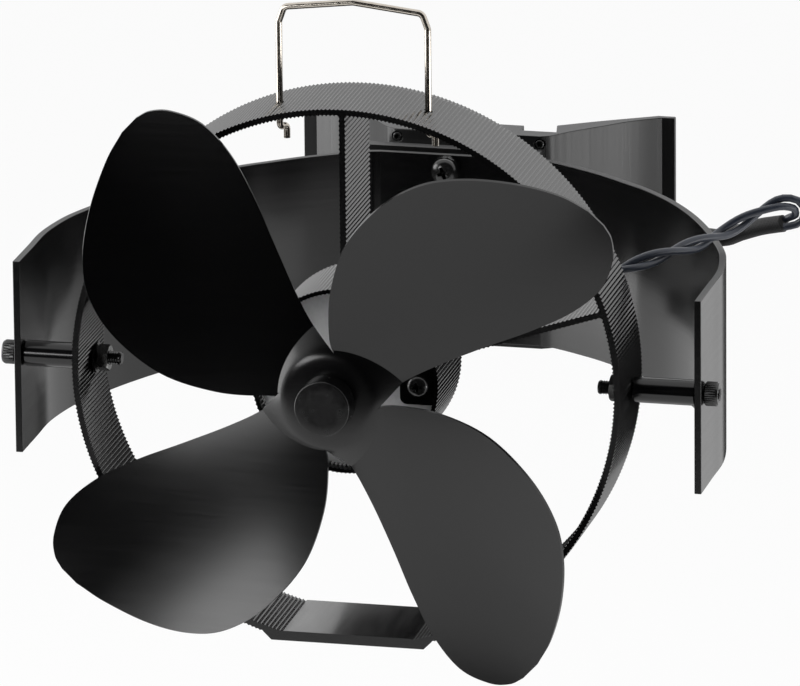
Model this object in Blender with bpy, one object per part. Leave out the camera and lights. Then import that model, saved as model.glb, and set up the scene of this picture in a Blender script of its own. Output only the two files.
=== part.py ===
import math

import bmesh
import bpy
from mathutils import Euler, Matrix, Vector

# A stove fan that clamps to a flue pipe. The front of the fan faces -Y and +X is its
# right side as seen from the front. The origin is the middle of the flat back strip
# that touches the pipe.

# Fits shared by every piece.
clearance = 0.0003
overrun = 0.0020
weld_distance = 0.000002
smooth_angle = math.radians(38)

# Fluted ring: one extrusion with an outer ring, five spokes, an inner ring and a foot.
ring_radius = 0.0800
ring_wall = 0.0018
ring_depth = 0.0292
ring_lead = 0.0130
ring_rise = 0.0027
flute_depth = 0.00035
flute_count = 424
spoke_count = 5
spoke_thickness = 0.0019
inner_ring_radius = 0.0274
inner_ring_wall = 0.0016
foot_half_width = 0.0223
foot_top_half_width = 0.0246
foot_thickness = 0.0029
foot_drop = 0.0784
lug_reach = 0.0160
lug_half_height = 0.0057
lug_corner = 0.0020
lug_thickness = 0.0030
lug_screw_radius = 0.0214

# Cooling wing: one bent sheet, open to the front.
sheet = 0.0020
wing_half_width = 0.0994
wing_depth = 0.1342
wing_height = 0.0570
wing_corner = 0.0015
wing_plan_shares = [
    (1.000, 0.000), (1.000, 0.120), (1.000, 0.231), (0.979, 0.335), (0.952, 0.402),
    (0.915, 0.469), (0.870, 0.544), (0.800, 0.641), (0.714, 0.734), (0.614, 0.816),
    (0.538, 0.864), (0.448, 0.917), (0.352, 0.963), (0.280, 0.992), (0.240, 1.000),
]

# Side bolts that carry the ring inside the wing.
bolt_radius = 0.0020
bolt_head_radius = 0.0035
bolt_head_height = 0.0040
bolt_socket_radius = 0.0017
bolt_socket_depth = 0.0022
bolt_length = 0.0310
bolt_edge = 0.0004
bolt_setback = 0.0049
bolt_hole_radius = 0.0023
spacer_radius = 0.0037
nut_radius = 0.0040
nut_thickness = 0.0032
nut_washer_radius = 0.0044
nut_washer_thickness = 0.0008

# Wire handle.
wire_radius = 0.00095
handle_half_span = 0.0216
handle_shoulder_half_span = 0.0200
handle_rise = 0.0250
handle_roof = 0.0023
handle_play = 0.0056
handle_jog_back = 0.0034
handle_jog_side = 0.0012
handle_tail = 0.0046
handle_bend = 0.0022

# Fan wheel: one pressed sheet, four blades round a shallow cone. The surface of a blade is
# set at one station of its reach and at half its chord.
blade_count = 4
blade_tip_radius = 0.0953
blade_station = 0.0500
blade_half_chord = 0.0300
blade_thickness = 0.0010
blade_turn = math.radians(44.2)
fan_standoff = 0.0177
blade_pitch = 0.0096
blade_twist = 0.0022
blade_rake = 0.0012
blade_cup = 0.0019
blade_cup_gain = 0.0046
blade_edge_return = 0.0032
blade_root_return = 0.0026
leading_shares = [
    (0.114, 0.294), (0.147, 0.463), (0.248, 0.747), (0.395, 0.980), (0.567, 1.033),
    (0.708, 0.933), (0.811, 0.707), (0.900, 0.367), (0.967, -0.017), (0.997, -0.317),
]
trailing_shares = [
    (0.092, -0.363), (0.186, -0.343), (0.304, -0.443), (0.456, -0.620), (0.598, -0.797),
    (0.735, -0.923), (0.855, -0.937), (0.944, -0.810), (0.987, -0.660), (1.000, -0.517),
]
valley_radius = 0.0140
valley_turn = math.radians(51)
cone_inner_radius = 0.0126
cone_front_radius = 0.0133
cone_front = 0.0022
cone_front_slope = 0.05
cone_slope = 0.68
crease_start_share = 0.40
root_bulge = 0.0027
cap_radius = 0.0080
cap_length = 0.0070
cap_chamfer = 0.0006
boss_radius = 0.0046
boss_length = 0.0075

# Motor inside the inner ring.
shaft_radius = 0.0010
motor_radius = 0.0155
motor_length = 0.0175
motor_wall = 0.0008
motor_round = 0.0012
motor_nose_radius = 0.0049
motor_nose_length = 0.0025
bearing_radius = 0.0025
bearing_length = 0.0030
magnet_arc_thickness = 0.0024
magnet_arc_length = 0.0120
magnet_arc_angle = math.radians(130)
armature_length = 0.0090
armature_pole_angle = math.radians(84)
armature_core_radius = 0.0042
commutator_radius = 0.0026
commutator_length = 0.0038
end_cap_thickness = 0.0026
tab_width = 0.0022
tab_thickness = 0.0005
tab_length = 0.0038
tab_offset = 0.0060
bracket_thickness = 0.0012
motor_screw_circle = 0.0125
motor_screw_radius = 0.0010
motor_screw_head_radius = 0.0019
motor_screw_head_height = 0.0012
motor_screw_length = 0.0032
bracket_screw_radius = 0.0015
bracket_screw_head_radius = 0.0031
bracket_screw_head_height = 0.0022
bracket_screw_length = 0.0085

# Heat path behind the wing: pads, generator module, hot plate and flue saddle.
pad_thickness = 0.0003
module_size = 0.0400
module_thickness = 0.0030
ceramic_thickness = 0.0007
module_seal_inset = 0.0012
hot_plate_thickness = 0.0037
hot_plate_half_width = 0.0265
hot_plate_shift = 0.0041
saddle_thickness = 0.0105
saddle_height = 0.0654
saddle_half_width = 0.0565
saddle_sweep = 0.0185
saddle_front_shares = [
    (0.390, 0.000), (0.437, 0.050), (0.469, 0.125), (0.524, 0.250), (0.602, 0.400),
    (0.672, 0.530), (0.745, 0.680), (0.825, 0.815), (0.903, 0.935), (1.000, 0.935),
]
saddle_back_shares = [(0.627, 0.514), (0.903, 1.000), (1.000, 1.000)]
groove_start = 0.0146
groove_end = 0.0254
groove_depth = 0.0050
groove_step = 0.0022
groove_lean = 0.0014
magnet_height = 0.0620
grub_radius = 0.0013
grub_length = 0.0055
grub_offset = 0.0215
grub_height = 0.0302
clamp_screw_radius = 0.0020
clamp_screw_length = 0.0200
clamp_head_radius = 0.0039
clamp_head_height = 0.0028
clamp_washer_radius = 0.0042
clamp_washer_thickness = 0.0008
clamp_offset = 0.0040
clamp_spacing = 0.0486
bush_flange_radius = 0.0042
bush_flange_thickness = 0.0010
bush_wall = 0.0008

# Motor lead: two strands, loosely twisted, that turn back into a sleeve.
strand_radius = 0.0011
strand_gap = 0.0004
twist_length = 0.0360
spread_length = 0.0150
strand_step = 0.0052
sleeve_radius = 0.0025
sleeve_step = 0.0090
module_wire_radius = 0.0008
module_wire_spread = 0.0030

# Places that follow from the sizes above.
saddle_front_y = -saddle_thickness
plate_back_y = saddle_front_y - clearance
plate_front_y = plate_back_y - hot_plate_thickness
hot_pad_y = plate_front_y - clearance - pad_thickness / 2
module_back_y = hot_pad_y - pad_thickness / 2 - clearance
module_front_y = module_back_y - module_thickness
cold_pad_y = module_front_y - clearance - pad_thickness / 2
wing_back_y = cold_pad_y - pad_thickness / 2 - clearance
wing_sheet_y = wing_back_y - sheet / 2
wing_front_y = wing_sheet_y - wing_depth
ring_front_y = wing_front_y - ring_lead
ring_back_y = ring_front_y + ring_depth
ring_middle_y = (ring_front_y + ring_back_y) / 2
bolt_y = wing_front_y + bolt_setback
fan_y = ring_front_y - fan_standoff
ring_bore = ring_radius - ring_wall
handle_shoulder_height = ring_radius + handle_rise
handle_jog_height = math.sqrt(ring_bore ** 2 - handle_half_span ** 2) - handle_play
handle_end_height = handle_jog_height - handle_tail
wing_outer_x = wing_half_width + sheet / 2
wing_inner_x = wing_half_width - sheet / 2
inner_bore = inner_ring_radius - inner_ring_wall
bracket_y = ring_front_y + lug_thickness + 2 * clearance
can_y = bracket_y + bracket_thickness + clearance
end_cap_y = can_y + motor_length + clearance
bush_flange_y = wing_sheet_y - sheet / 2 - clearance - bush_flange_thickness
clamp_seat_y = bush_flange_y - clearance - clamp_washer_thickness - clearance
sides = ((1, "right"), (-1, "left"))

# A piece drawn about Z is turned so that its top faces one of these ways.
facing_front = (math.radians(90), 0, 0)
facing_back = (math.radians(-90), 0, 0)
facing_right = (0, math.radians(90), 0)
facing_left = (0, math.radians(-90), 0)

for old in list(bpy.data.objects):
    bpy.data.objects.remove(old, do_unlink=True)


def make_material(name, colour, roughness, metallic):
    material = bpy.data.materials.new(name)
    material.use_nodes = True
    shader = material.node_tree.nodes["Principled BSDF"]
    shader.inputs["Base Color"].default_value = (*colour, 1.0)
    shader.inputs["Roughness"].default_value = roughness
    shader.inputs["Metallic"].default_value = metallic
    return material


black_anodised = make_material("black_anodised", (0.030, 0.031, 0.034), 0.38, 0.6)
black_steel = make_material("black_steel", (0.025, 0.025, 0.027), 0.35, 0.7)
bright_zinc = make_material("bright_zinc", (0.72, 0.72, 0.71), 0.28, 1.0)
nickel_wire = make_material("nickel_wire", (0.60, 0.56, 0.50), 0.25, 1.0)
black_plastic = make_material("black_plastic", (0.020, 0.020, 0.021), 0.50, 0.0)
bronze = make_material("bronze", (0.55, 0.36, 0.18), 0.40, 1.0)
dark_ferrite = make_material("dark_ferrite", (0.06, 0.06, 0.065), 0.60, 0.1)
core_steel = make_material("core_steel", (0.35, 0.35, 0.36), 0.45, 0.9)
white_ceramic = make_material("white_ceramic", (0.86, 0.86, 0.84), 0.50, 0.0)
grey_graphite = make_material("grey_graphite", (0.16, 0.16, 0.17), 0.60, 0.0)
lead_jacket = make_material("lead_jacket", (0.035, 0.042, 0.060), 0.42, 0.0)
glass_sleeve = make_material("glass_sleeve", (0.012, 0.012, 0.013), 0.70, 0.0)
mica_bush = make_material("mica_bush", (0.20, 0.16, 0.12), 0.60, 0.0)


def add_object(name, shape, material, location=(0, 0, 0), rotation=(0, 0, 0)):
    """Turn a finished bmesh, drawn about its own origin, into a named object."""
    bmesh.ops.remove_doubles(shape, verts=shape.verts, dist=weld_distance)
    bmesh.ops.recalc_face_normals(shape, faces=shape.faces)
    mesh = bpy.data.meshes.new(name)
    shape.to_mesh(mesh)
    shape.free()
    mesh.materials.append(material)
    mesh.shade_smooth()
    mesh.set_sharp_from_angle(angle=smooth_angle)
    item = bpy.data.objects.new(name, mesh)
    item.location = location
    item.rotation_euler = rotation
    bpy.context.scene.collection.objects.link(item)
    return item


def add_cutter(name, shape, location=(0, 0, 0), rotation=(0, 0, 0)):
    item = add_object(name, shape, black_anodised, location, rotation)
    item.hide_render = True
    item.display_type = "WIRE"
    return item


def add_boolean(item, cutter, operation="DIFFERENCE"):
    step = item.modifiers.new(cutter.name, "BOOLEAN")
    step.object = cutter
    step.operation = operation
    step.solver = "EXACT"


def extruded(loops, depth):
    """A flat outline with its holes, given depth to both sides of the XY plane."""
    curve = bpy.data.curves.new("outline", "CURVE")
    curve.dimensions = "2D"
    curve.fill_mode = "BOTH"
    curve.extrude = depth / 2
    for loop in loops:
        spline = curve.splines.new("POLY")
        spline.points.add(len(loop) - 1)
        for point, place in zip(spline.points, loop):
            point.co = (place[0], place[1], 0, 1)
        spline.use_cyclic_u = True
    holder = bpy.data.objects.new("outline", curve)
    mesh = bpy.data.meshes.new_from_object(holder)
    shape = bmesh.new()
    shape.from_mesh(mesh)
    bpy.data.objects.remove(holder, do_unlink=True)
    bpy.data.curves.remove(curve)
    bpy.data.meshes.remove(mesh)
    return shape


def turned(profile, steps):
    """A profile of (radius, height) points spun about Z."""
    shape = bmesh.new()
    verts = [shape.verts.new((radius, 0, height)) for radius, height in profile]
    edges = [shape.edges.new(pair) for pair in zip(verts, verts[1:])]
    if profile[0][0] > 0:
        edges.append(shape.edges.new((verts[-1], verts[0])))
    bmesh.ops.spin(shape, geom=verts + edges, axis=(0, 0, 1), cent=(0, 0, 0),
                   steps=steps, angle=math.tau, use_merge=False)
    return shape


def tube_profile(bore, radius, length):
    return [(bore, 0), (radius, 0), (radius, length), (bore, length)]


def add_hole(shape, radius, length, centre, rotation, sides=16):
    """A round cutter in the middle of its length at the centre."""
    matrix = Matrix.Translation(centre) @ Euler(rotation).to_matrix().to_4x4()
    bmesh.ops.create_cone(shape, cap_ends=True, segments=sides, radius1=radius,
                          radius2=radius, depth=length, matrix=matrix)


def box(low, high):
    shape = bmesh.new()
    size = Vector(high) - Vector(low)
    middle = (Vector(high) + Vector(low)) / 2
    matrix = Matrix.Translation(middle) @ Matrix.Diagonal((*size, 1))
    bmesh.ops.create_cube(shape, size=1, matrix=matrix)
    return shape


def arc(radius, start, sweep, steps, centre=(0, 0)):
    points = []
    for step in range(steps + 1):
        angle = start + sweep * step / steps
        points.append((centre[0] + radius * math.cos(angle), centre[1] + radius * math.sin(angle)))
    return points


def arc_between(radius, start, end, steps):
    return arc(radius, start, end - start, steps)


def rounded_corner(corner, before, after, radius, steps):
    """Replace a corner between two neighbours by an arc of the radius."""
    corner = Vector(corner)
    first = (Vector(before) - corner).normalized()
    second = (Vector(after) - corner).normalized()
    half = first.angle(second) / 2
    along = radius / math.tan(half)
    centre = corner + (first + second).normalized() * (radius / math.sin(half))
    start = corner + first * along - centre
    end = corner + second * along - centre
    return [centre + start.slerp(end, step / steps, start).normalized() * radius
            for step in range(steps + 1)]


def span_weights(t):
    """How much of each end and each end's slope a cubic span holds at t."""
    return (1 - t * t * (3 - 2 * t), t * (1 - t) * (1 - t), t * t * (3 - 2 * t), t * t * (t - 1))


def smooth_path(points, parts):
    """A smooth curve through the points, with the given parts for each span."""
    points = [Vector(point) for point in points]
    slopes = [(after - before) / 2 for before, after in zip(points, points[2:])]
    slopes = [points[1] - points[0]] + slopes + [points[-1] - points[-2]]
    path = []
    for index in range(len(points) - 1):
        held = (points[index], slopes[index], points[index + 1], slopes[index + 1])
        for part in range(parts):
            weights = span_weights(part / parts)
            path.append(sum((item * weight for item, weight in zip(held, weights)), Vector((0, 0, 0))))
    path.append(points[-1])
    return path


def even_path(points, step):
    """The smooth curve through the points, cut into equal steps near the given one."""
    fine = smooth_path(points, 24)
    lengths = [0.0]
    for one, two in zip(fine, fine[1:]):
        lengths.append(lengths[-1] + (two - one).length)
    count = max(2, round(lengths[-1] / step))
    path = []
    index = 0
    for number in range(count + 1):
        want = lengths[-1] * number / count
        while index < len(fine) - 2 and lengths[index + 1] < want:
            index += 1
        share = (want - lengths[index]) / (lengths[index + 1] - lengths[index])
        path.append(fine[index].lerp(fine[index + 1], min(1.0, share)))
    return path


def add_tube(name, paths, radius, material, resolution=2):
    """A round cord along each path, as one curve object with filled ends."""
    curve = bpy.data.curves.new(name, "CURVE")
    curve.dimensions = "3D"
    curve.bevel_depth = radius
    curve.bevel_resolution = resolution
    curve.use_fill_caps = True
    for path in paths:
        spline = curve.splines.new("POLY")
        spline.points.add(len(path) - 1)
        for point, place in zip(spline.points, path):
            point.co = (*place, 1)
    curve.materials.append(material)
    item = bpy.data.objects.new(name, curve)
    bpy.context.scene.collection.objects.link(item)
    return item


def clamp_places():
    """Where the two clamp screws stand: x, z and a word for each."""
    high = clamp_spacing / 2
    return ((-clamp_offset, high, "upper"), (clamp_offset, -high, "lower"))


def ring_outer_loop():
    """Fluted outer wall with the flat foot let into its lowest part."""
    meet = math.asin(foot_top_half_width / ring_radius)
    start = -math.pi / 2 + meet
    sweep = math.tau - 2 * meet
    flutes = round(flute_count * sweep / math.tau)
    points = []
    for half in range(2 * flutes + 1):
        radius = ring_radius - (flute_depth if half % 2 else 0)
        angle = start + sweep * half / (2 * flutes)
        points.append((radius * math.cos(angle), radius * math.sin(angle)))
    points.append((-foot_half_width, -foot_drop))
    points.append((foot_half_width, -foot_drop))
    return points


def spoke_angle(index):
    return math.pi / 2 + math.tau * index / spoke_count


def sector_loop(index):
    """The open space between one spoke and the next."""
    half = spoke_thickness / 2
    first = spoke_angle(index)
    last = spoke_angle(index + 1)
    outer_trim = math.asin(half / ring_bore)
    inner_trim = math.asin(half / inner_ring_radius)
    outer = arc_between(ring_bore, first + outer_trim, last - outer_trim, 24)
    inner = arc_between(inner_ring_radius, last - inner_trim, first + inner_trim, 12)
    foot_top = foot_thickness - foot_drop
    return [(x, max(z, foot_top)) for x, z in outer] + inner


def lug_loop(side):
    """Screw lug with rounded inner corners, rooted in the wall of the inner ring."""
    root = inner_bore + inner_ring_wall / 2
    angle = math.asin(lug_half_height / root)
    low = (lug_reach, -lug_half_height)
    high = (lug_reach, lug_half_height)
    wall = arc(root, -angle, 2 * angle, 6)
    points = wall + rounded_corner(high, wall[-1], low, lug_corner, 4)
    points += rounded_corner(low, high, wall[0], lug_corner, 4)
    return [(side * point[0], point[1]) for point in points]


def build_ring():
    loops = [ring_outer_loop()] + [sector_loop(index) for index in range(spoke_count)]
    loops.append(arc(inner_bore, 0, math.tau, 36)[:-1])
    place = (0, ring_middle_y, ring_rise)
    ring = add_object("heat_sink_ring", extruded(loops, ring_depth), black_anodised, place, facing_front)
    lug_y = ring_front_y + clearance + lug_thickness / 2
    for side, word in sides:
        lug = extruded([lug_loop(side)], lug_thickness)
        place = (0, lug_y, ring_rise)
        add_boolean(ring, add_cutter("lug_" + word, lug, place, facing_front), "UNION")
    holes = bmesh.new()
    wall_top = math.sqrt(ring_radius ** 2 - handle_half_span ** 2)
    for side, word in sides:
        length = 2 * (ring_wall + overrun)
        add_hole(holes, bolt_hole_radius, length, (side * ring_radius, bolt_y, 0), facing_right)
        place = (side * handle_half_span, ring_middle_y, ring_rise + wall_top)
        add_hole(holes, wire_radius + clearance, 2 * length, place, (0, 0, 0), 12)
        place = (side * lug_screw_radius, lug_y, ring_rise)
        add_hole(holes, bracket_screw_radius + clearance, lug_thickness + 2 * overrun, place, facing_front)
    add_boolean(ring, add_cutter("ring_holes", holes))


def wing_path():
    """Middle line of the sheet in plan, from the left front edge round to the right."""
    half = smooth_path([(x, y, 0) for x, y in wing_plan_shares], 2)
    right = [Vector((point.x * wing_half_width, wing_front_y + point.y * wing_depth)) for point in half]
    left = [Vector((-point.x, point.y)) for point in right]
    return left + right[::-1]


def build_wing():
    path = wing_path()
    outer = []
    inner = []
    for index, point in enumerate(path):
        before = path[max(index - 1, 0)]
        after = path[min(index + 1, len(path) - 1)]
        along = (after - before).normalized()
        side = Vector((-along.y, along.x)) * sheet / 2
        outer.append(point + side)
        inner.append(point - side)
    wing = add_object("cooling_wing", extruded([outer + inner[::-1]], wing_height), black_anodised)
    holes = bmesh.new()
    length = sheet + 2 * overrun
    for side, word in sides:
        add_hole(holes, bolt_hole_radius, length, (side * wing_half_width, bolt_y, 0), facing_right)
    for x, z, word in clamp_places():
        bush_hole = clamp_screw_radius + clearance + bush_wall + clearance
        add_hole(holes, bush_hole, length, (x, wing_sheet_y, z), facing_front)
    add_boolean(wing, add_cutter("wing_holes", holes))


def build_side_bolts():
    """Each bolt passes the wing, a spacer, the ring's wall, a washer and a nut."""
    head_x = wing_outer_x + clearance
    bore = bolt_radius + clearance
    spacer_inner_x = ring_radius + clearance
    spacer_length = wing_inner_x - clearance - spacer_inner_x
    wall_x = math.sqrt(ring_bore ** 2 - (nut_washer_radius + ring_rise) ** 2)
    washer_x = wall_x - clearance - nut_washer_thickness
    nut_x = washer_x - clearance - nut_thickness / 2
    bolt = [
        (0, bolt_head_height), (bolt_head_radius - bolt_edge, bolt_head_height),
        (bolt_head_radius, bolt_head_height - bolt_edge), (bolt_head_radius, 0), (bolt_radius, 0),
        (bolt_radius, bolt_edge - bolt_length), (bolt_radius - bolt_edge, -bolt_length), (0, -bolt_length),
    ]
    socket_x = head_x + bolt_head_height + (overrun - bolt_socket_depth) / 2
    for side, word in sides:
        turn = facing_right if side > 0 else facing_left
        item = add_object("side_bolt_" + word, turned(bolt, 16), black_steel, (side * head_x, bolt_y, 0), turn)
        socket = bmesh.new()
        depth = bolt_socket_depth + overrun
        add_hole(socket, bolt_socket_radius, depth, (side * socket_x, bolt_y, 0), turn, 6)
        add_boolean(item, add_cutter("socket_" + word, socket))
        spacer = turned(tube_profile(bore, spacer_radius, spacer_length), 16)
        place = (side * spacer_inner_x, bolt_y, 0)
        add_object("side_spacer_" + word, spacer, black_anodised, place, turn)
        washer = turned(tube_profile(bore, nut_washer_radius, nut_washer_thickness), 16)
        add_object("side_washer_" + word, washer, bright_zinc, (side * washer_x, bolt_y, 0), turn)
        flats = arc(nut_radius, 0, math.tau, 6)[:-1]
        hole = arc(bore, 0, math.tau, 16)[:-1]
        nut = extruded([flats, hole], nut_thickness)
        add_object("side_nut_" + word, nut, bright_zinc, (side * nut_x, bolt_y, 0), turn)


def build_handle():
    """Bent wire: roof, two shoulders, two legs and a jog in each below the ring's wall."""
    corners = []
    for side in (-1, 1):
        leg = side * handle_half_span
        tail = leg + handle_jog_side
        half = [
            (tail, handle_jog_back, 0), (tail, handle_jog_back, handle_tail), (leg, 0, handle_tail),
            (leg, 0, handle_shoulder_height - handle_end_height - 2 * handle_bend),
            (side * handle_shoulder_half_span, 0, handle_shoulder_height - handle_end_height),
        ]
        corners += half if side < 0 else half[::-1]
    corners.insert(len(half), (0, 0, handle_shoulder_height + handle_roof - handle_end_height))
    path = [Vector(corners[0])]
    for before, corner, after in zip(corners, corners[1:], corners[2:]):
        shorter = min((Vector(corner) - Vector(end)).length for end in (before, after))
        path += rounded_corner(corner, before, after, min(handle_bend, shorter * 0.4), 3)
    path.append(Vector(corners[-1]))
    item = add_tube("handle", [path], wire_radius, nickel_wire)
    item.location = (0, ring_middle_y, ring_rise + handle_end_height)


def cone_depth(reach, side):
    """How far behind the hub's front plane the pressed cone lies: flat in front, then a skirt."""
    radius = math.hypot(reach, side)
    dome = cone_front_slope * max(0, radius - cap_radius)
    return dome + cone_slope * max(0, radius - cone_front_radius) - cone_front


def twist_depth(reach, side):
    """How far behind the hub's front plane the twisted blade lies."""
    out = (reach - blade_station) / blade_station
    across = side / blade_half_chord
    pitch = blade_pitch + blade_twist * out - blade_root_return * out ** 2
    cup = blade_cup + blade_cup_gain * out
    return -pitch * across - blade_rake * out - cup * across ** 2 + blade_edge_return * across ** 3


def blade_depth(reach, side):
    cone = cone_depth(reach, side)
    if math.hypot(reach, side) <= valley_radius:
        return cone
    return min(cone, twist_depth(reach, side))


def on_crease(place):
    """Moves a place along the blade to the crease between the cone and the blade."""
    low = math.sqrt(max(0, valley_radius ** 2 - place.y ** 2))
    high = 2 * valley_radius
    for _ in range(30):
        middle = (low + high) / 2
        if twist_depth(middle, place.y) > cone_depth(middle, place.y):
            low = middle
        else:
            high = middle
    return Vector((low, place.y))


def blade_rows():
    """Rows of places across the blade: arcs on the cone, the crease, then out to the tip."""
    columns = 6
    rows = []
    for radius in (boss_radius + clearance, cone_inner_radius, valley_radius):
        rows.append([Vector(place) for place in arc(radius, math.pi / 2 - valley_turn, -math.pi / 2, columns)])
    leading = smooth_path([(r * blade_tip_radius, s * blade_half_chord, 0) for r, s in leading_shares], 2)
    trailing = smooth_path([(r * blade_tip_radius, s * blade_half_chord, 0) for r, s in trailing_shares], 2)
    pairs = [(leading[0].lerp(leading[1], crease_start_share), trailing[2])]
    pairs.append((leading[2], trailing[2].lerp(trailing[3], 0.5)))
    pairs += zip(leading[3:], trailing[3:])
    for index, ends in enumerate(pairs):
        bulge = root_bulge * max(0, 1 - index / 6)
        row = []
        for column in range(columns + 1):
            share = column / columns
            point = ends[0].lerp(ends[1], share)
            row.append(Vector((point.x + bulge * 4 * share * (1 - share), point.y)))
        rows.append(row)
    rows[3] = [on_crease(place) for place in rows[3]]
    return rows


def sheet_pair(shape, place, turn):
    """The front and back vertex of the pressed sheet at one place."""
    step = weld_distance * 20
    slope_out = (blade_depth(place.x + step, place.y) - blade_depth(place.x - step, place.y)) / (2 * step)
    slope_across = (blade_depth(place.x, place.y + step) - blade_depth(place.x, place.y - step)) / (2 * step)
    normal = Vector((slope_out, -1, slope_across)).normalized() * blade_thickness / 2
    middle = Vector((place.x, blade_depth(place.x, place.y), place.y))
    return [shape.verts.new(turn @ (middle + normal * side)) for side in (1, -1)]


def build_fan():
    """Four blades pressed in one sheet, joined along the valleys between their roots."""
    shape = bmesh.new()
    rows = blade_rows()
    end = len(rows[0]) - 1
    for number in range(blade_count):
        turn = Matrix.Rotation(-(blade_turn + math.tau * number / blade_count), 3, "Y")
        grid = [[sheet_pair(shape, place, turn) for place in row] for row in rows]
        for index, (low, high) in enumerate(zip(grid, grid[1:])):
            for side in (0, 1):
                for place in range(end):
                    shape.faces.new((low[place][side], low[place + 1][side],
                                     high[place + 1][side], high[place][side]))
            if index < 2:
                continue
            for place in (0, end):
                shape.faces.new((low[place][0], high[place][0], high[place][1], low[place][1]))
        for row in (grid[0], grid[-1]):
            for place in range(end):
                shape.faces.new((row[place][0], row[place + 1][0], row[place + 1][1], row[place][1]))
    add_object("fan_blades", shape, black_anodised, (0, fan_y, ring_rise))


def build_hub_boss():
    cap_back = cone_front + blade_thickness / 2 + clearance
    cap_front = cap_back + cap_length
    hole = shaft_radius + clearance
    profile = [
        (0, cap_front), (cap_radius - cap_chamfer, cap_front), (cap_radius, cap_front - cap_chamfer),
        (cap_radius, cap_back), (boss_radius, cap_back), (boss_radius, -boss_length),
        (hole, -boss_length), (hole, cap_back + cap_length / 2), (0, cap_back + cap_length / 2),
    ]
    add_object("hub_boss", turned(profile, 28), black_plastic, (0, fan_y, ring_rise), facing_front)


def build_bracket():
    disc = tube_profile(motor_nose_radius + clearance, inner_bore - clearance, bracket_thickness)
    place = (0, bracket_y, ring_rise)
    bracket = add_object("motor_bracket", turned(disc, 36), bright_zinc, place, facing_back)
    holes = bmesh.new()
    length = 2 * (bracket_thickness + overrun)
    for side, word in sides:
        place = (side * lug_screw_radius, bracket_y, ring_rise)
        add_hole(holes, bracket_screw_radius + clearance, length, place, facing_front)
        place = (0, bracket_y, ring_rise + side * motor_screw_circle)
        add_hole(holes, motor_screw_radius + clearance, length, place, facing_front)
    add_boolean(bracket, add_cutter("bracket_holes", holes))


def pan_profile(radius, head_radius, head_height, length):
    """Pan head screw, its head above zero and its shank below."""
    return [
        (0, head_height), (head_radius * 0.55, head_height * 0.94), (head_radius * 0.85, head_height * 0.68),
        (head_radius, head_height * 0.30), (head_radius, 0), (radius, 0), (radius, -length), (0, -length),
    ]


def build_motor_screws():
    large = pan_profile(bracket_screw_radius, bracket_screw_head_radius, bracket_screw_head_height,
                        bracket_screw_length)
    small = pan_profile(motor_screw_radius, motor_screw_head_radius, motor_screw_head_height,
                        motor_screw_length)
    for side, word in sides:
        place = (side * lug_screw_radius, ring_front_y, ring_rise)
        add_object("bracket_screw_" + word, turned(large, 14), black_steel, place, facing_front)
    for side, word in ((1, "upper"), (-1, "lower")):
        place = (0, bracket_y - clearance, ring_rise + side * motor_screw_circle)
        add_object("motor_screw_" + word, turned(small, 12), bright_zinc, place, facing_front)


def build_motor_can():
    bore = motor_radius - motor_wall
    nose_bore = bearing_radius + clearance
    profile = [
        (nose_bore, -motor_nose_length), (motor_nose_radius, -motor_nose_length), (motor_nose_radius, 0),
        (motor_radius - motor_round, 0), (motor_radius - motor_round / 3, motor_round / 3),
        (motor_radius, motor_round), (motor_radius, motor_length), (bore, motor_length),
        (bore, 2 * motor_wall), (nose_bore, 2 * motor_wall),
    ]
    can = add_object("motor_can", turned(profile, 28), bright_zinc, (0, can_y, ring_rise), facing_back)
    holes = bmesh.new()
    for side, word in sides:
        place = (0, can_y, ring_rise + side * motor_screw_circle)
        add_hole(holes, motor_screw_radius + clearance, 2 * (2 * motor_wall + overrun), place, facing_front)
    add_boolean(can, add_cutter("can_holes", holes))


def build_armature(place, magnet_bore):
    """Three wound poles in one solid, with the commutator behind them."""
    pole_radius = magnet_bore - 2 * clearance
    shaft_hole = shaft_radius + clearance
    gap = math.tau / 3 - armature_pole_angle
    loop = []
    for pole in range(3):
        centre = math.tau * pole / 3
        loop += arc(pole_radius, centre - armature_pole_angle / 2, armature_pole_angle, 6)
        loop += arc(armature_core_radius, centre + armature_pole_angle / 2 + gap / 3, gap / 3, 2)
    hole = arc(shaft_hole, 0, math.tau, 12)[:-1]
    armature = add_object("motor_armature", extruded([loop, hole], armature_length), core_steel, place,
                          facing_back)
    low = armature_length / 4
    high = armature_length / 2 + commutator_length
    drum = [(shaft_hole, low), (commutator_radius, low), (commutator_radius, high), (shaft_hole, high)]
    return armature, drum


def build_motor_inside():
    shaft_hole = shaft_radius + clearance
    bearing = tube_profile(shaft_hole, bearing_radius, bearing_length)
    place = (0, can_y - motor_nose_length, ring_rise)
    add_object("motor_bearing", turned(bearing, 16), bronze, place, facing_back)

    outer = motor_radius - motor_wall - clearance
    inner = outer - magnet_arc_thickness
    middle = (0, can_y + motor_length / 2, ring_rise)
    for side, word in sides:
        start = (0 if side > 0 else math.pi) - magnet_arc_angle / 2
        loop = arc(outer, start, magnet_arc_angle, 10)
        loop += arc(inner, start + magnet_arc_angle, -magnet_arc_angle, 10)
        magnet = extruded([loop], magnet_arc_length)
        add_object("motor_magnet_" + word, magnet, dark_ferrite, middle, facing_front)

    armature, drum = build_armature(middle, inner)
    add_boolean(armature, add_cutter("commutator", turned(drum, 12), middle, facing_back), "UNION")

    front = fan_y - cone_front - blade_thickness / 2 - cap_length / 2
    length = can_y + motor_length - clearance - front
    shaft = turned([(0, length), (shaft_radius, length), (shaft_radius, 0), (0, 0)], 12)
    add_object("motor_shaft", shaft, core_steel, (0, front, ring_rise), facing_back)


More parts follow.
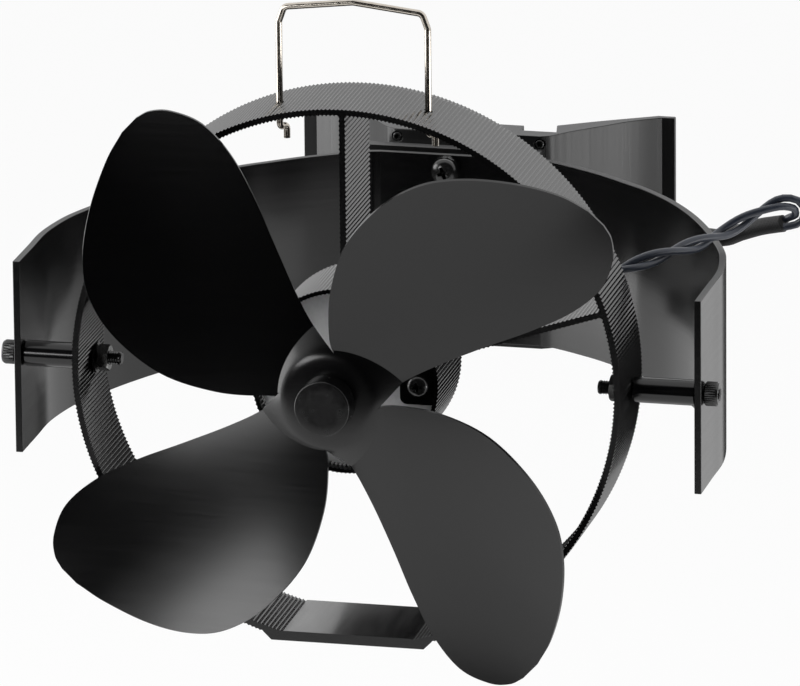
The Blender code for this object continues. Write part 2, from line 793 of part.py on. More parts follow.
def build_motor_back():
    cap = [(0, end_cap_thickness), (motor_radius - motor_round, end_cap_thickness),
           (motor_radius, end_cap_thickness - motor_round), (motor_radius, 0), (0, 0)]
    add_object("motor_end_cap", turned(cap, 28), black_plastic, (0, end_cap_y, ring_rise), facing_back)
    tab_y = end_cap_y + end_cap_thickness + clearance
    for side, word in sides:
        low = (-tab_width / 2, 0, -tab_thickness / 2)
        high = (tab_width / 2, tab_length, tab_thickness / 2)
        add_object("motor_tab_" + word, box(low, high), bronze, (side * tab_offset, tab_y, ring_rise))


def build_heat_path():
    half = module_size / 2
    for middle, word in ((cold_pad_y, "cold"), (hot_pad_y, "hot")):
        pad = box((-half, -pad_thickness / 2, -half), (half, pad_thickness / 2, half))
        add_object("thermal_pad_" + word, pad, grey_graphite, (0, middle, 0))

    middle = (0, (module_front_y + module_back_y) / 2, 0)
    thick = module_thickness / 2
    module = add_object("generator_module", box((-half, -thick, -half), (half, thick, half)),
                        white_ceramic, middle)
    core = thick - ceramic_thickness
    seal = half - module_seal_inset
    far = half + overrun
    for number, low, high in (
        (1, (-far, -core, seal), (far, core, far)), (2, (-far, -core, -far), (far, core, -seal)),
        (3, (seal, -core, -far), (far, core, far)), (4, (-far, -core, -far), (-seal, core, far)),
    ):
        add_boolean(module, add_cutter("module_edge_" + str(number), box(low, high), middle))

    top = wing_height / 2
    low = (-hot_plate_half_width - hot_plate_shift, 0, -top)
    high = (hot_plate_half_width - hot_plate_shift, hot_plate_thickness, top)
    plate = add_object("hot_plate", box(low, high), black_anodised, (0, plate_front_y, 0))
    holes = bmesh.new()
    for x, z, word in clamp_places():
        length = 2 * (hot_plate_thickness + overrun)
        add_hole(holes, clamp_screw_radius + clearance, length, (x, plate_front_y, z), facing_front)
    add_boolean(plate, add_cutter("plate_holes", holes))


def saddle_loop():
    """The plan: flat front, swept sides, and a back with two magnet grooves."""
    depth = saddle_thickness + saddle_sweep
    right = [(x * saddle_half_width, saddle_front_y + y * depth) for x, y in saddle_front_shares]
    for x, y in reversed(saddle_back_shares):
        right.append((x * saddle_half_width, y * saddle_sweep))
    right += [(groove_end - groove_lean, groove_step), (groove_end, -groove_depth),
              (groove_start, -groove_depth), (groove_start, 0)]
    left = [(-x, y) for x, y in reversed(right)]
    return right + left


def build_saddle():
    saddle = add_object("flue_saddle", extruded([saddle_loop()], saddle_height), black_anodised)
    holes = bmesh.new()
    for side, word in sides:
        length = 2 * (saddle_thickness - groove_depth + overrun)
        place = (side * grub_offset, saddle_front_y, grub_height)
        add_hole(holes, grub_radius + clearance, length, place, facing_front, 12)
    for x, z, word in clamp_places():
        length = 2 * (clamp_seat_y + clamp_screw_length + clearance - saddle_front_y)
        add_hole(holes, clamp_screw_radius + clearance, length, (x, saddle_front_y, z), facing_front)
    add_boolean(saddle, add_cutter("saddle_holes", holes))
    middle = (groove_start + groove_end - groove_lean) / 2
    half = (groove_end - groove_lean - groove_start) / 2 - clearance
    for side, word in sides:
        low = (-half, clearance - groove_depth, -magnet_height / 2)
        high = (half, -clearance, magnet_height / 2)
        add_object("flue_magnet_" + word, box(low, high), dark_ferrite, (side * middle, 0, 0))
        grub = [(0, grub_length), (grub_radius, grub_length), (grub_radius, 0), (0, 0)]
        place = (side * grub_offset, -groove_depth - grub_length, grub_height)
        add_object("grub_screw_" + word, turned(grub, 12), black_steel, place, facing_back)


def build_clamps():
    """Screws that pass the wing in insulating bushes and pull it onto the saddle."""
    bore = clamp_screw_radius + clearance
    screw = pan_profile(clamp_screw_radius, clamp_head_radius, clamp_head_height, clamp_screw_length)
    washer = tube_profile(bore, clamp_washer_radius, clamp_washer_thickness)
    sleeve = bush_flange_thickness + clearance + sheet
    bush = [
        (bore, 0), (bush_flange_radius, 0), (bush_flange_radius, bush_flange_thickness),
        (bore + bush_wall, bush_flange_thickness), (bore + bush_wall, sleeve), (bore, sleeve),
    ]
    for x, z, word in clamp_places():
        add_object("clamp_screw_" + word, turned(screw, 14), black_steel, (x, clamp_seat_y, z), facing_front)
        place = (x, clamp_seat_y + clearance, z)
        add_object("clamp_washer_" + word, turned(washer, 14), bright_zinc, place, facing_back)
        place = (x, bush_flange_y, z)
        add_object("clamp_bush_" + word, turned(bush, 14), mica_bush, place, facing_back)


def lead_route():
    """Middle line of the twisted pair, from the motor's tabs to the sleeve's mouth."""
    route = [
        (0.0000, -0.1370, 0.0027), (0.0000, -0.1310, 0.0028), (0.0080, -0.1262, 0.0036),
        (0.0280, -0.1290, 0.0085), (0.0500, -0.1320, 0.0187), (0.0660, -0.1315, 0.0267),
        (0.0760, -0.1290, 0.0306), (0.0860, -0.1175, 0.0322), (0.0915, -0.1075, 0.0322),
        (0.0960, -0.0995, 0.0330), (0.1030, -0.0945, 0.0370), (0.1100, -0.0915, 0.0402),
        (0.1148, -0.0893, 0.0392), (0.1150, -0.0875, 0.0350),
    ]
    mouth = Vector(sleeve_route()[0])
    inward = (Vector(sleeve_route()[1]) - mouth).normalized()
    return route + [mouth - inward * 2 * clearance]


def sleeve_route():
    return [
        (0.1100, -0.0855, 0.0324), (0.1030, -0.0825, 0.0302), (0.0960, -0.0775, 0.0267),
        (0.0880, -0.0675, 0.0217), (0.0700, -0.0405, 0.0147), (0.0500, -0.0215, 0.0095),
        (0.0390, -0.0172, 0.0080), (0.0300, -0.0169, 0.0076),
    ]


def strand_paths():
    """Two strands that leave the tabs apart, close up and then twist together."""
    middle = even_path(lead_route(), strand_step)
    closed_up = strand_radius + strand_gap / 2
    strands = ([], [])
    travelled = 0.0
    side = Vector((1, 0, 0))
    for index, point in enumerate(middle):
        before = middle[max(index - 1, 0)]
        after = middle[min(index + 1, len(middle) - 1)]
        along = (after - before).normalized()
        side = (side - along * side.dot(along)).normalized()
        up = along.cross(side)
        if index:
            travelled += (point - before).length
        share = min(1.0, travelled / spread_length)
        offset = tab_offset + (closed_up - tab_offset) * share
        angle = math.tau * max(0.0, travelled - spread_length) / twist_length
        out = side * math.cos(angle) + up * math.sin(angle)
        strands[0].append(point + out * offset)
        strands[1].append(point - out * offset)
    return strands


def build_leads():
    right, left = strand_paths()
    add_tube("motor_lead_right", [right], strand_radius, lead_jacket)
    add_tube("motor_lead_left", [left], strand_radius, lead_jacket)
    add_tube("lead_sleeve", [even_path(sleeve_route(), sleeve_step)], sleeve_radius, glass_sleeve)
    end = Vector(sleeve_route()[-1])
    middle_y = (module_front_y + module_back_y) / 2
    for side, word in ((1, "upper"), (-1, "lower")):
        start = end + Vector((-clearance, 0, side * module_wire_spread / 2))
        stop = Vector((module_size / 2 + clearance, middle_y, start.z))
        add_tube("module_wire_" + word, [[start, start.lerp(stop, 0.5), stop]], module_wire_radius, lead_jacket)


build_ring()
build_wing()
build_side_bolts()
build_handle()
build_fan()
build_hub_boss()
build_bracket()
build_motor_screws()
build_motor_can()
build_motor_inside()
build_motor_back()
build_heat_path()
build_saddle()
build_clamps()
build_leads()
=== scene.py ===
import math

import bmesh
import bpy
from mathutils import Euler, Matrix, Vector


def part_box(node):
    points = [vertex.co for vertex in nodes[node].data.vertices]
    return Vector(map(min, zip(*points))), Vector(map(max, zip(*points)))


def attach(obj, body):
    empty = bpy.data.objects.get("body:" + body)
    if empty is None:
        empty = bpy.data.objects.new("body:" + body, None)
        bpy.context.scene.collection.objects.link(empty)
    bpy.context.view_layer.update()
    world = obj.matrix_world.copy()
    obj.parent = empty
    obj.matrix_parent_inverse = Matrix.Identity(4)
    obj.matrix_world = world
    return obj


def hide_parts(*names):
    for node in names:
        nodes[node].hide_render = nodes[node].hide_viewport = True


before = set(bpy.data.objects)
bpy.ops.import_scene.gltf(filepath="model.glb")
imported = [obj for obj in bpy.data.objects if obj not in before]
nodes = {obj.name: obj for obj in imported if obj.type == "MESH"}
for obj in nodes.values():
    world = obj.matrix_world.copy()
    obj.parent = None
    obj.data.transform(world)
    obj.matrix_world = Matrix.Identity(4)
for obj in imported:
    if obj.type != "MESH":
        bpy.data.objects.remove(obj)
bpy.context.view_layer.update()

print("loaded", len(nodes), "pieces")

# places that several pieces share, in metres
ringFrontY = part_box("heat_sink_ring")[0].y
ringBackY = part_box("heat_sink_ring")[1].y
axisZ = 0.0027
fanY = -0.1852
sideBoltY = -0.1496


# small mesh tools
def linked(name, data):
    made = bpy.data.objects.new(name, data)
    bpy.context.scene.collection.objects.link(made)
    return made


def linkMesh(name, shape, material, body, smoothAngle):
    bmesh.ops.remove_doubles(shape, verts=shape.verts, dist=0.000002)
    bmesh.ops.recalc_face_normals(shape, faces=shape.faces)
    mesh = bpy.data.meshes.new(name)
    shape.to_mesh(mesh)
    shape.free()
    mesh.shade_smooth()
    mesh.set_sharp_from_angle(angle=math.radians(smoothAngle))
    mesh.materials.append(material)
    piece = linked(name, mesh)
    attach(piece, body)
    return piece


def placed(location, facing="up"):
    turns = {"up": (0, 0, 0), "front": (90, 0, 0), "right": (0, 90, 0), "left": (0, -90, 0)}
    angles = [math.radians(value) for value in turns[facing]]
    return Matrix.Translation(location) @ Euler(angles).to_matrix().to_4x4()


def polar(radius, angle):
    return radius * math.cos(angle), radius * math.sin(angle)


def arc(radius, start, sweep, steps):
    return [polar(radius, start + sweep * step / steps) for step in range(steps + 1)]


def moveNew(shape, start, matrix):
    # moves the vertices that a shape gained since it had start of them
    shape.verts.ensure_lookup_table()
    bmesh.ops.transform(shape, matrix=matrix, verts=[shape.verts[i] for i in range(start, len(shape.verts))])


def joinRings(shape, rings):
    for one, two in zip(rings, rings[1:]):
        for step in range(len(one)):
            shape.faces.new((one[step - 1], one[step], two[step], two[step - 1]))


def fillOutline(shape, loops, depth, matrix):
    # flat outline with holes, filled and pushed to both sides of its plane
    start = len(shape.verts)
    edges = []
    for loop in loops:
        verts = [shape.verts.new((x, y, -depth / 2)) for x, y in loop]
        edges += [shape.edges.new((verts[i - 1], verts[i])) for i in range(len(verts))]
    made = bmesh.ops.triangle_fill(shape, use_beauty=True, use_dissolve=False, edges=edges)
    faces = [item for item in made["geom"] if isinstance(item, bmesh.types.BMFace)]
    pushed = bmesh.ops.extrude_face_region(shape, geom=faces)
    moved = [item for item in pushed["geom"] if isinstance(item, bmesh.types.BMVert)]
    bmesh.ops.translate(shape, verts=moved, vec=(0, 0, depth))
    moveNew(shape, start, matrix)


def turnProfile(shape, profile, steps, matrix):
    # radii and heights turned about the axis; open at the axis or closed in a ring
    start = len(shape.verts)
    rings = []
    for radius, height in profile:
        if radius < 0.000001:
            rings.append([shape.verts.new((0, 0, height))])
            continue
        rings.append([shape.verts.new((x, y, height)) for x, y in arc(radius, 0, math.tau, steps)[:-1]])
    pairs = list(zip(rings, rings[1:]))
    if profile[0][0] > 0:
        pairs.append((rings[-1], rings[0]))
    for low, high in pairs:
        for step in range(steps):
            after = (step + 1) % steps
            corners = [low[step % len(low)], low[after % len(low)], high[after % len(high)], high[step % len(high)]]
            unique = list(dict.fromkeys(corners))
            if len(unique) > 2:
                shape.faces.new(unique)
    moveNew(shape, start, matrix)


def addPin(shape, radius, half, steps, matrix):
    # plain round pin, to cut a hole with
    turnProfile(shape, [(0, -half), (radius, -half), (radius, half), (0, half)], steps, matrix)


def cutAway(piece, shape):
    # cuts a shape out of a piece and keeps the result as its mesh
    bmesh.ops.recalc_face_normals(shape, faces=shape.faces)
    mesh = bpy.data.meshes.new("cutter")
    shape.to_mesh(mesh)
    shape.free()
    cutter = linked("cutter", mesh)
    cut = piece.modifiers.new("cut", "BOOLEAN")
    cut.object = cutter
    cut.solver = "EXACT"
    bpy.context.view_layer.update()
    result = bpy.data.meshes.new_from_object(piece.evaluated_get(bpy.context.evaluated_depsgraph_get()))
    piece.modifiers.remove(cut)
    old = piece.data
    piece.data = result
    bpy.data.meshes.remove(old)
    bpy.data.objects.remove(cutter, do_unlink=True)


def softenEdges(piece, width, angle=40):
    rim = piece.modifiers.new("rim", "BEVEL")
    rim.width = width
    rim.segments = 2
    rim.limit_method = "ANGLE"
    rim.angle_limit = math.radians(angle)
    rim.harden_normals = True


def smoothPath(points, parts):
    # curve through the points, each stretch in so many parts
    points = [Vector(point) for point in points]
    slopes = [points[1] - points[0]]
    slopes += [(after - before) / 2 for before, after in zip(points, points[2:])]
    slopes.append(points[-1] - points[-2])
    path = []
    for i in range(len(points) - 1):
        for part in range(parts):
            t = part / parts
            a, b = 1 - t * t * (3 - 2 * t), t * (1 - t) * (1 - t)
            c, d = t * t * (3 - 2 * t), t * t * (t - 1)
            path.append(points[i] * a + slopes[i] * b + points[i + 1] * c + slopes[i + 1] * d)
    path.append(points[-1])
    return path


def evenPath(points, step):
    # the same curve with its points an even step apart
    fine = smoothPath(points, 24)
    lengths = [0.0]
    for one, two in zip(fine, fine[1:]):
        lengths.append(lengths[-1] + (two - one).length)
    count = max(2, round(lengths[-1] / step))
    path = []
    index = 0
    for number in range(count + 1):
        want = lengths[-1] * number / count
        while index < len(fine) - 2 and lengths[index + 1] < want:
            index += 1
        share = (want - lengths[index]) / (lengths[index + 1] - lengths[index])
        path.append(fine[index].lerp(fine[index + 1], min(1.0, share)))
    return path


def linkTube(name, path, radius, material, body, rounds=6):
    curve = bpy.data.curves.new(name, "CURVE")
    curve.dimensions = "3D"
    curve.bevel_depth = radius
    curve.bevel_resolution = rounds
    curve.use_fill_caps = True
    spline = curve.splines.new("POLY")
    spline.points.add(len(path) - 1)
    for point, place in zip(spline.points, path):
        point.co = (*place, 1)
    spline.use_smooth = True
    curve.materials.append(material)
    piece = linked(name, curve)
    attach(piece, body)
    return piece


# materials
class Shading:
    # short names for the few node kinds that the finishes, the floor and the room use
    def __init__(self, holder, place="Object"):
        holder.use_nodes = True
        self.holder = holder
        self.tree = holder.node_tree
        self.shader = self.tree.nodes.get("Principled BSDF")
        self.place = self.node("TexCoord").outputs[place]

    def node(self, kind, values=()):
        node = self.tree.nodes.new("ShaderNode" + kind)
        for socket, value in values:
            node.inputs[socket].default_value = value
        return node

    def link(self, source, target):
        self.tree.links.new(source, target)

    def scaled(self, scale, turn=(0, 0, 0)):
        node = self.node("Mapping", [("Scale", scale), ("Rotation", turn)])
        self.link(self.place, node.inputs["Vector"])
        return node.outputs["Vector"]

    def noise(self, scale, size, detail=3, roughness=0.5):
        node = self.node("TexNoise", [("Scale", size), ("Detail", detail), ("Roughness", roughness)])
        self.link(self.scaled(scale), node.inputs["Vector"])
        return node.outputs["Fac"]

    def ramp(self, source, low, high, start=0.0, end=1.0, kind="LINEAR"):
        node = self.node("MapRange", [("From Min", low), ("From Max", high), ("To Min", start), ("To Max", end)])
        node.interpolation_type = kind
        self.link(source, node.inputs["Value"])
        return node.outputs["Result"]

    def feed(self, value, socket):
        if isinstance(value, (int, float)):
            socket.default_value = value
        elif isinstance(value, tuple):
            socket.default_value = (*value, 1)
        else:
            self.link(value, socket)

    def math(self, kind, *values):
        node = self.node("Math")
        node.operation = kind
        for value, socket in zip(values, node.inputs):
            self.feed(value, socket)
        return node.outputs["Value"]

    def blend(self, factor, one, two):
        node = self.node("Mix")
        node.data_type = "RGBA"
        for value, socket in ((factor, "Factor"), (one, "A"), (two, "B")):
            self.feed(value, node.inputs[socket])
        return node.outputs["Result"]

    def bump(self, height, strength, distance):
        node = self.node("Bump", [("Strength", strength), ("Distance", distance)])
        self.link(height, node.inputs["Height"])
        self.link(node.outputs["Normal"], self.shader.inputs["Normal"])

    def set(self, name, value):
        self.shader.inputs[name].default_value = value

    def mixInto(self, output, factor, one, two):
        mixed = self.node("MixShader")
        for source, socket in zip((factor, one, two), mixed.inputs):
            self.link(source, socket)
        self.link(mixed.outputs["Shader"], self.tree.nodes[output].inputs["Surface"])


# shares and limits that the finishes have in common
sheen = {"grain": 0.6, "cloud": 0.4, "low": 0.3, "high": 0.7, "grainHeight": 0.00004, "cloudHeight": 0.00003,
         "sawMarks": ((0.5, 6, 1), 400, 3, 0.6), "sawnAndLitFrom": 0.86, "sawnAndLitTo": 0.96, "sawnRough": 0.3}


def anodised(name, look):
    # black anodised aluminium: a fine drawn or rolled grain, paler and rougher on the faces that were sawn; the paler
    # colour on these flat top and bottom faces is partly painted light, for the light that the top faces catch
    made = Shading(bpy.data.materials.new(name))
    grain = made.noise(look["grain"], look["grainSize"], 4, 0.6)
    cloud = made.noise((1, 1, 1), look["cloudSize"], 2)
    mixed = made.math("ADD", made.math("MULTIPLY", grain, sheen["grain"]),
                      made.math("MULTIPLY", cloud, sheen["cloud"]))
    colour = made.blend(mixed, look["dark"], look["light"])
    rough = made.ramp(mixed, sheen["low"], sheen["high"], *look["rough"])
    # partly painted light: faces that point up or down get a paler colour, partly for bare sawn metal and partly for
    # light on the tops
    if "sawnAndLit" in look:
        axes = made.node("SeparateXYZ")
        made.link(made.node("NewGeometry").outputs["Normal"], axes.inputs["Vector"])
        sawnAndLitFaces = made.ramp(made.math("ABSOLUTE", axes.outputs["Z"]), sheen["sawnAndLitFrom"], sheen["sawnAndLitTo"])
        sawnAndLitColour = made.blend(made.noise(*sheen["sawMarks"]), *look["sawnAndLit"])
        colour = made.blend(sawnAndLitFaces, colour, sawnAndLitColour)
        rough = made.math("ADD", rough, made.math("MULTIPLY", sawnAndLitFaces, sheen["sawnRough"]))
    made.link(colour, made.shader.inputs["Base Color"])
    made.link(rough, made.shader.inputs["Roughness"])
    made.bump(grain, look["bump"], sheen["grainHeight"])
    return made.holder


# the second pair of colours in wing and saddle is partly bare sawn metal, partly painted light on the top faces
finishes = {
    "wing": {"grain": (1.2, 1.2, 30), "grainSize": 24, "cloudSize": 18, "dark": (0.0012, 0.0012, 0.0013),
             "light": (0.0030, 0.0030, 0.0032), "rough": (0.15, 0.21), "bump": 0.12,
             "sawnAndLit": ((0.02, 0.02, 0.02), (0.05, 0.05, 0.051))},
    "ring": {"grain": (12, 1.0, 12), "grainSize": 60, "cloudSize": 40, "dark": (0.0015, 0.0015, 0.0016),
             "light": (0.0030, 0.0030, 0.0031), "rough": (0.15, 0.23), "bump": 0.1},
    "blade": {"grain": (1.5, 1.5, 60), "grainSize": 30, "cloudSize": 24, "dark": (0.0007, 0.0007, 0.0008),
              "light": (0.0018, 0.0018, 0.0020), "rough": (0.19, 0.25), "bump": 0.05},
    "saddle": {"grain": (60, 60, 0.8), "grainSize": 22, "cloudSize": 14, "dark": (0.0012, 0.0012, 0.0013),
               "light": (0.0110, 0.0110, 0.0114), "rough": (0.26, 0.36), "bump": 0.3,
               "sawnAndLit": ((0.07, 0.07, 0.071), (0.13, 0.13, 0.132))},
    "spacer": {"grain": (0.6, 30, 30), "grainSize": 30, "cloudSize": 40, "dark": (0.0020, 0.0020, 0.0022),
               "light": (0.0050, 0.0050, 0.0056), "rough": (0.10, 0.16), "bump": 0.06},
}
wingFinish, ringFinish, bladeFinish, saddleFinish, spacerFinish = [
    anodised(name + "Anodised", look) for name, look in finishes.items()]


def plainFinish(name, look):
    made = Shading(bpy.data.materials.new(name))
    cloud = made.noise((1, 1, 1), look.get("size", 300), 3)
    made.link(made.blend(cloud, look["dark"], look["light"]), made.shader.inputs["Base Color"])
    made.link(made.ramp(cloud, sheen["low"], sheen["high"], *look["rough"]), made.shader.inputs["Roughness"])
    made.set("Metallic", look.get("metallic", 0.0))
    made.set("Specular IOR Level", look.get("specular", 0.5))
    made.bump(cloud, look.get("bump", 0.1), sheen["cloudHeight"])
    return made.holder


screwBlack = plainFinish("blackOxideSteel", {
    "dark": (0.006, 0.006, 0.006), "light": (0.012, 0.012, 0.012), "rough": (0.15, 0.25), "specular": 0.6,
    "size": 500, "bump": 0.05})
zinc = plainFinish("brightZinc", {
    "dark": (0.55, 0.55, 0.54), "light": (0.78, 0.78, 0.77), "rough": (0.18, 0.30), "metallic": 1.0, "size": 400})
brightNut = plainFinish("polishedZinc", {
    "dark": (0.22, 0.22, 0.22), "light": (0.40, 0.40, 0.39), "rough": (0.10, 0.18), "metallic": 1.0, "size": 300,
    "bump": 0.04})
nickel = plainFinish("nickelWire", {
    "dark": (0.42, 0.38, 0.33), "light": (0.66, 0.61, 0.54), "rough": (0.16, 0.26), "metallic": 1.0, "size": 600})
hubPlastic = plainFinish("hubPlastic", {
    "dark": (0.0020, 0.0020, 0.0021), "light": (0.0050, 0.0050, 0.0052), "rough": (0.20, 0.28), "size": 500,
    "bump": 0.3})
# painted reflection: a near-white, almost matt colour stands in for the bright reflection of the plated motor bracket
paleBracketFinish = plainFinish("bracketPaintedBright", {
    "dark": (0.80, 0.80, 0.81), "light": (0.95, 0.95, 0.96), "rough": (0.42, 0.55), "metallic": 0.05, "size": 900,
    "bump": 0.15})
brassy = plainFinish("tinnedBronze", {
    "dark": (0.50, 0.36, 0.18), "light": (0.66, 0.52, 0.30), "rough": (0.28, 0.38), "metallic": 1.0})
ferrite = plainFinish("ferrite", {
    "dark": (0.04, 0.04, 0.045), "light": (0.08, 0.08, 0.085), "rough": (0.55, 0.7)})
coreSteel = plainFinish("coreSteel", {
    "dark": (0.28, 0.28, 0.29), "light": (0.45, 0.45, 0.46), "rough": (0.35, 0.45), "metallic": 1.0})
ceramicWhite = plainFinish("aluminaPlate", {
    "dark": (0.78, 0.78, 0.76), "light": (0.90, 0.90, 0.88), "rough": (0.45, 0.6)})
graphite = plainFinish("graphitePad", {
    "dark": (0.12, 0.12, 0.13), "light": (0.20, 0.20, 0.21), "rough": (0.5, 0.65)})
leadJacket = plainFinish("siliconeLead", {
    "dark": (0.022, 0.027, 0.040), "light": (0.042, 0.050, 0.070), "rough": (0.30, 0.42), "size": 400})

braid = {"lean": 35, "ribs": 520, "dark": (0.006, 0.006, 0.006), "light": (0.020, 0.020, 0.021), "rough": 0.65,
         "bump": 0.5, "ribHeight": 0.0001}


def braidFinish():
    # woven glass sleeve: two crossing sets of fine ribs
    made = Shading(bpy.data.materials.new("braidedSleeve"))
    cross = []
    for turn in (math.radians(braid["lean"]), -math.radians(braid["lean"])):
        wave = made.node("TexWave", [("Scale", braid["ribs"])])
        made.link(made.scaled((1, 1, 1), (turn, turn, 0)), wave.inputs["Vector"])
        cross.append(wave.outputs["Fac"])
    weave = made.math("MAXIMUM", cross[0], cross[1])
    made.link(made.blend(weave, braid["dark"], braid["light"]), made.shader.inputs["Base Color"])
    made.set("Roughness", braid["rough"])
    made.bump(weave, braid["bump"], braid["ribHeight"])
    return made.holder


sleeveFinish = braidFinish()

nodeFinishes = {
    "cooling_wing": wingFinish, "flue_saddle": saddleFinish, "hot_plate": saddleFinish,
    "heat_sink_ring": ringFinish, "fan_blades": bladeFinish, "hub_boss": hubPlastic,
    "side_spacer": ringFinish, "side_bolt": screwBlack, "side_nut": zinc, "side_washer": screwBlack,
    "bracket_screw": screwBlack, "clamp_screw": screwBlack, "clamp_washer": screwBlack, "clamp_bush": hubPlastic,
    "grub_screw": screwBlack, "motor_bracket": paleBracketFinish, "motor_can": zinc, "motor_screw": zinc,
    "motor_end_cap": hubPlastic, "motor_tab": brassy, "motor_bearing": brassy, "motor_magnet": ferrite,
    "flue_magnet": ferrite, "motor_armature": coreSteel, "motor_shaft": coreSteel, "generator_module": ceramicWhite,
    "thermal_pad": graphite, "handle": nickel, "motor_lead": leadJacket, "module_wire": leadJacket,
    "lead_sleeve": sleeveFinish,
}
for name, node in nodes.items():
    match = [finish for start, finish in nodeFinishes.items() if name.startswith(start)]
    node.data.materials.clear()
    node.data.materials.append(match[0])
print("finishes on", len(nodes), "pieces")


# camera, from the picture's fitted view
view = {"focal": 534.6, "distance": 3.364, "side": 13.42, "above": 16.71, "roll": -0.009,
        "shiftX": -0.015803, "shiftZ": -0.010734}
side, above = math.radians(view["side"]), math.radians(view["above"])
backward = Vector((math.sin(side) * math.cos(above), -math.cos(side) * math.cos(above), math.sin(above)))
rightward = Vector((math.cos(side), math.sin(side), 0))
upward = backward.cross(rightward)
centre = Vector((0, ringFrontY, axisZ))
camera = linked("camera", bpy.data.cameras.new("camera"))
rolledRight = rightward * math.cos(view["roll"]) + upward * math.sin(view["roll"])
rolledUp = upward * math.cos(view["roll"]) - rightward * math.sin(view["roll"])
camera.matrix_world = Matrix((rolledRight, rolledUp, backward)).transposed().to_4x4()
camera.location = centre + backward * view["distance"] - rightward * view["shiftX"] - upward * view["shiftZ"]
camera.data.lens = view["focal"]
camera.data.sensor_width = 36
camera.data.clip_start = 0.1
camera.data.clip_end = 60
bpy.context.scene.camera = camera


# motor lead and sleeve, along the CAD's route
lead = {"strandRadius": 0.0011, "strandGap": 0.0004, "twist": 0.036, "spread": 0.015, "step": 0.0018,
        "tabOffset": 0.006, "sleeveRadius": 0.0025, "sleeveStep": 0.003, "gap": 0.0003}
leadRoute = [
    (0.0000, -0.1370, 0.0027), (0.0000, -0.1310, 0.0028), (0.0080, -0.1262, 0.0036),
    (0.0280, -0.1290, 0.0085), (0.0500, -0.1320, 0.0187), (0.0660, -0.1315, 0.0267),
    (0.0760, -0.1290, 0.0306), (0.0860, -0.1175, 0.0322), (0.0915, -0.1075, 0.0322),
    (0.0960, -0.0995, 0.0330), (0.1030, -0.0945, 0.0370), (0.1100, -0.0915, 0.0402),
    (0.1148, -0.0893, 0.0392), (0.1150, -0.0875, 0.0350),
]
sleeveRoute = [
    (0.1100, -0.0855, 0.0324), (0.1030, -0.0825, 0.0302), (0.0960, -0.0775, 0.0267),
    (0.0880, -0.0675, 0.0217), (0.0700, -0.0405, 0.0147), (0.0500, -0.0215, 0.0095),
    (0.0390, -0.0172, 0.0080), (0.0300, -0.0169, 0.0076),
]


def leadStrands():
    mouth = Vector(sleeveRoute[0])
    inward = (Vector(sleeveRoute[1]) - mouth).normalized()
    middle = evenPath(leadRoute + [mouth - inward * 2 * lead["gap"]], lead["step"])
    closedUp = lead["strandRadius"] + lead["strandGap"] / 2
    strands = ([], [])
    travelled = 0.0
    out = Vector((1, 0, 0))
    for index, point in enumerate(middle):
        before, after = middle[max(index - 1, 0)], middle[min(index + 1, len(middle) - 1)]
        along = (after - before).normalized()
        out = (out - along * out.dot(along)).normalized()
        up = along.cross(out)
        if index:
            travelled += (point - before).length
        share = min(1.0, travelled / lead["spread"])
        offset = lead["tabOffset"] + (closedUp - lead["tabOffset"]) * share
        angle = math.tau * max(0.0, travelled - lead["spread"]) / lead["twist"]
        reach = out * math.cos(angle) + up * math.sin(angle)
        strands[0].append(point + reach * offset)
        strands[1].append(point - reach * offset)
    return strands


for path, word in zip(leadStrands(), ("right", "left")):
    strand = linkTube("leadStrand_" + word, path, lead["strandRadius"], leadJacket, "frame")
    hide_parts("motor_lead_" + word)
sleevePath = evenPath(sleeveRoute, lead["sleeveStep"])
sleeve = linkTube("braidedSleeve", sleevePath, lead["sleeveRadius"], sleeveFinish, "frame")
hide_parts("lead_sleeve")
print("lead and sleeve made")


# fluted ring, spokes and inner ring, with the flutes on every face that has them
ring = {"radius": 0.08, "wall": 0.0022, "flutes": 424, "groove": 5, "fluteDepth": 0.00032,
        "spokes": 5, "spoke": 0.0021, "spokePitch": 0.00135, "boreFlute": 0.00042, "spokeFlute": 0.0003,
        "innerRadius": 0.0274, "innerWall": 0.0016, "outerFlutes": 26, "innerFlutes": 134,
        "footDrop": 0.0784, "footHalf": 0.0223, "footTopHalf": 0.0246, "footThickness": 0.0029,
        "footBay": 2, "boltHole": 0.0023, "boltDrill": 0.004, "handleHole": 0.00125, "handleDrill": 0.008,
        "handleX": 0.0216}
lug = {"reach": 0.016, "half": 0.0057, "thickness": 0.003, "screwX": 0.0214, "hole": 0.0018, "corner": 0.002,
       "root": 0.4, "gap": 0.0003}


def flutedArc(radius, start, end, count, depth, outward):
    # round grooves along an arc, their crests on the radius
    parts = ring["groove"]
    points = []
    for step in range(parts * count + 1):
        cut = depth * math.sin(math.pi * (step % parts) / parts)
        reach = radius - cut if outward else radius + cut
        angle = start + (end - start) * step / (parts * count)
        points.append(polar(reach, angle))
    return points


def spokeEdge(angle, sideways, low, high):
    # one fluted face of a spoke, from the inner ring out
    parts = ring["groove"]
    count = max(1, round((high - low) / ring["spokePitch"]))
    along = Vector((math.cos(angle), math.sin(angle)))
    across = Vector((-math.sin(angle), math.cos(angle))) * (1 if sideways > 0 else -1)
    points = []
    for step in range(1, parts * count):
        reach = low + (high - low) * step / (parts * count)
        cut = ring["spokeFlute"] * math.sin(math.pi * (step % parts) / parts)
        points.append(along * reach + across * (abs(sideways) - cut))
    return [(point.x, point.y) for point in points]


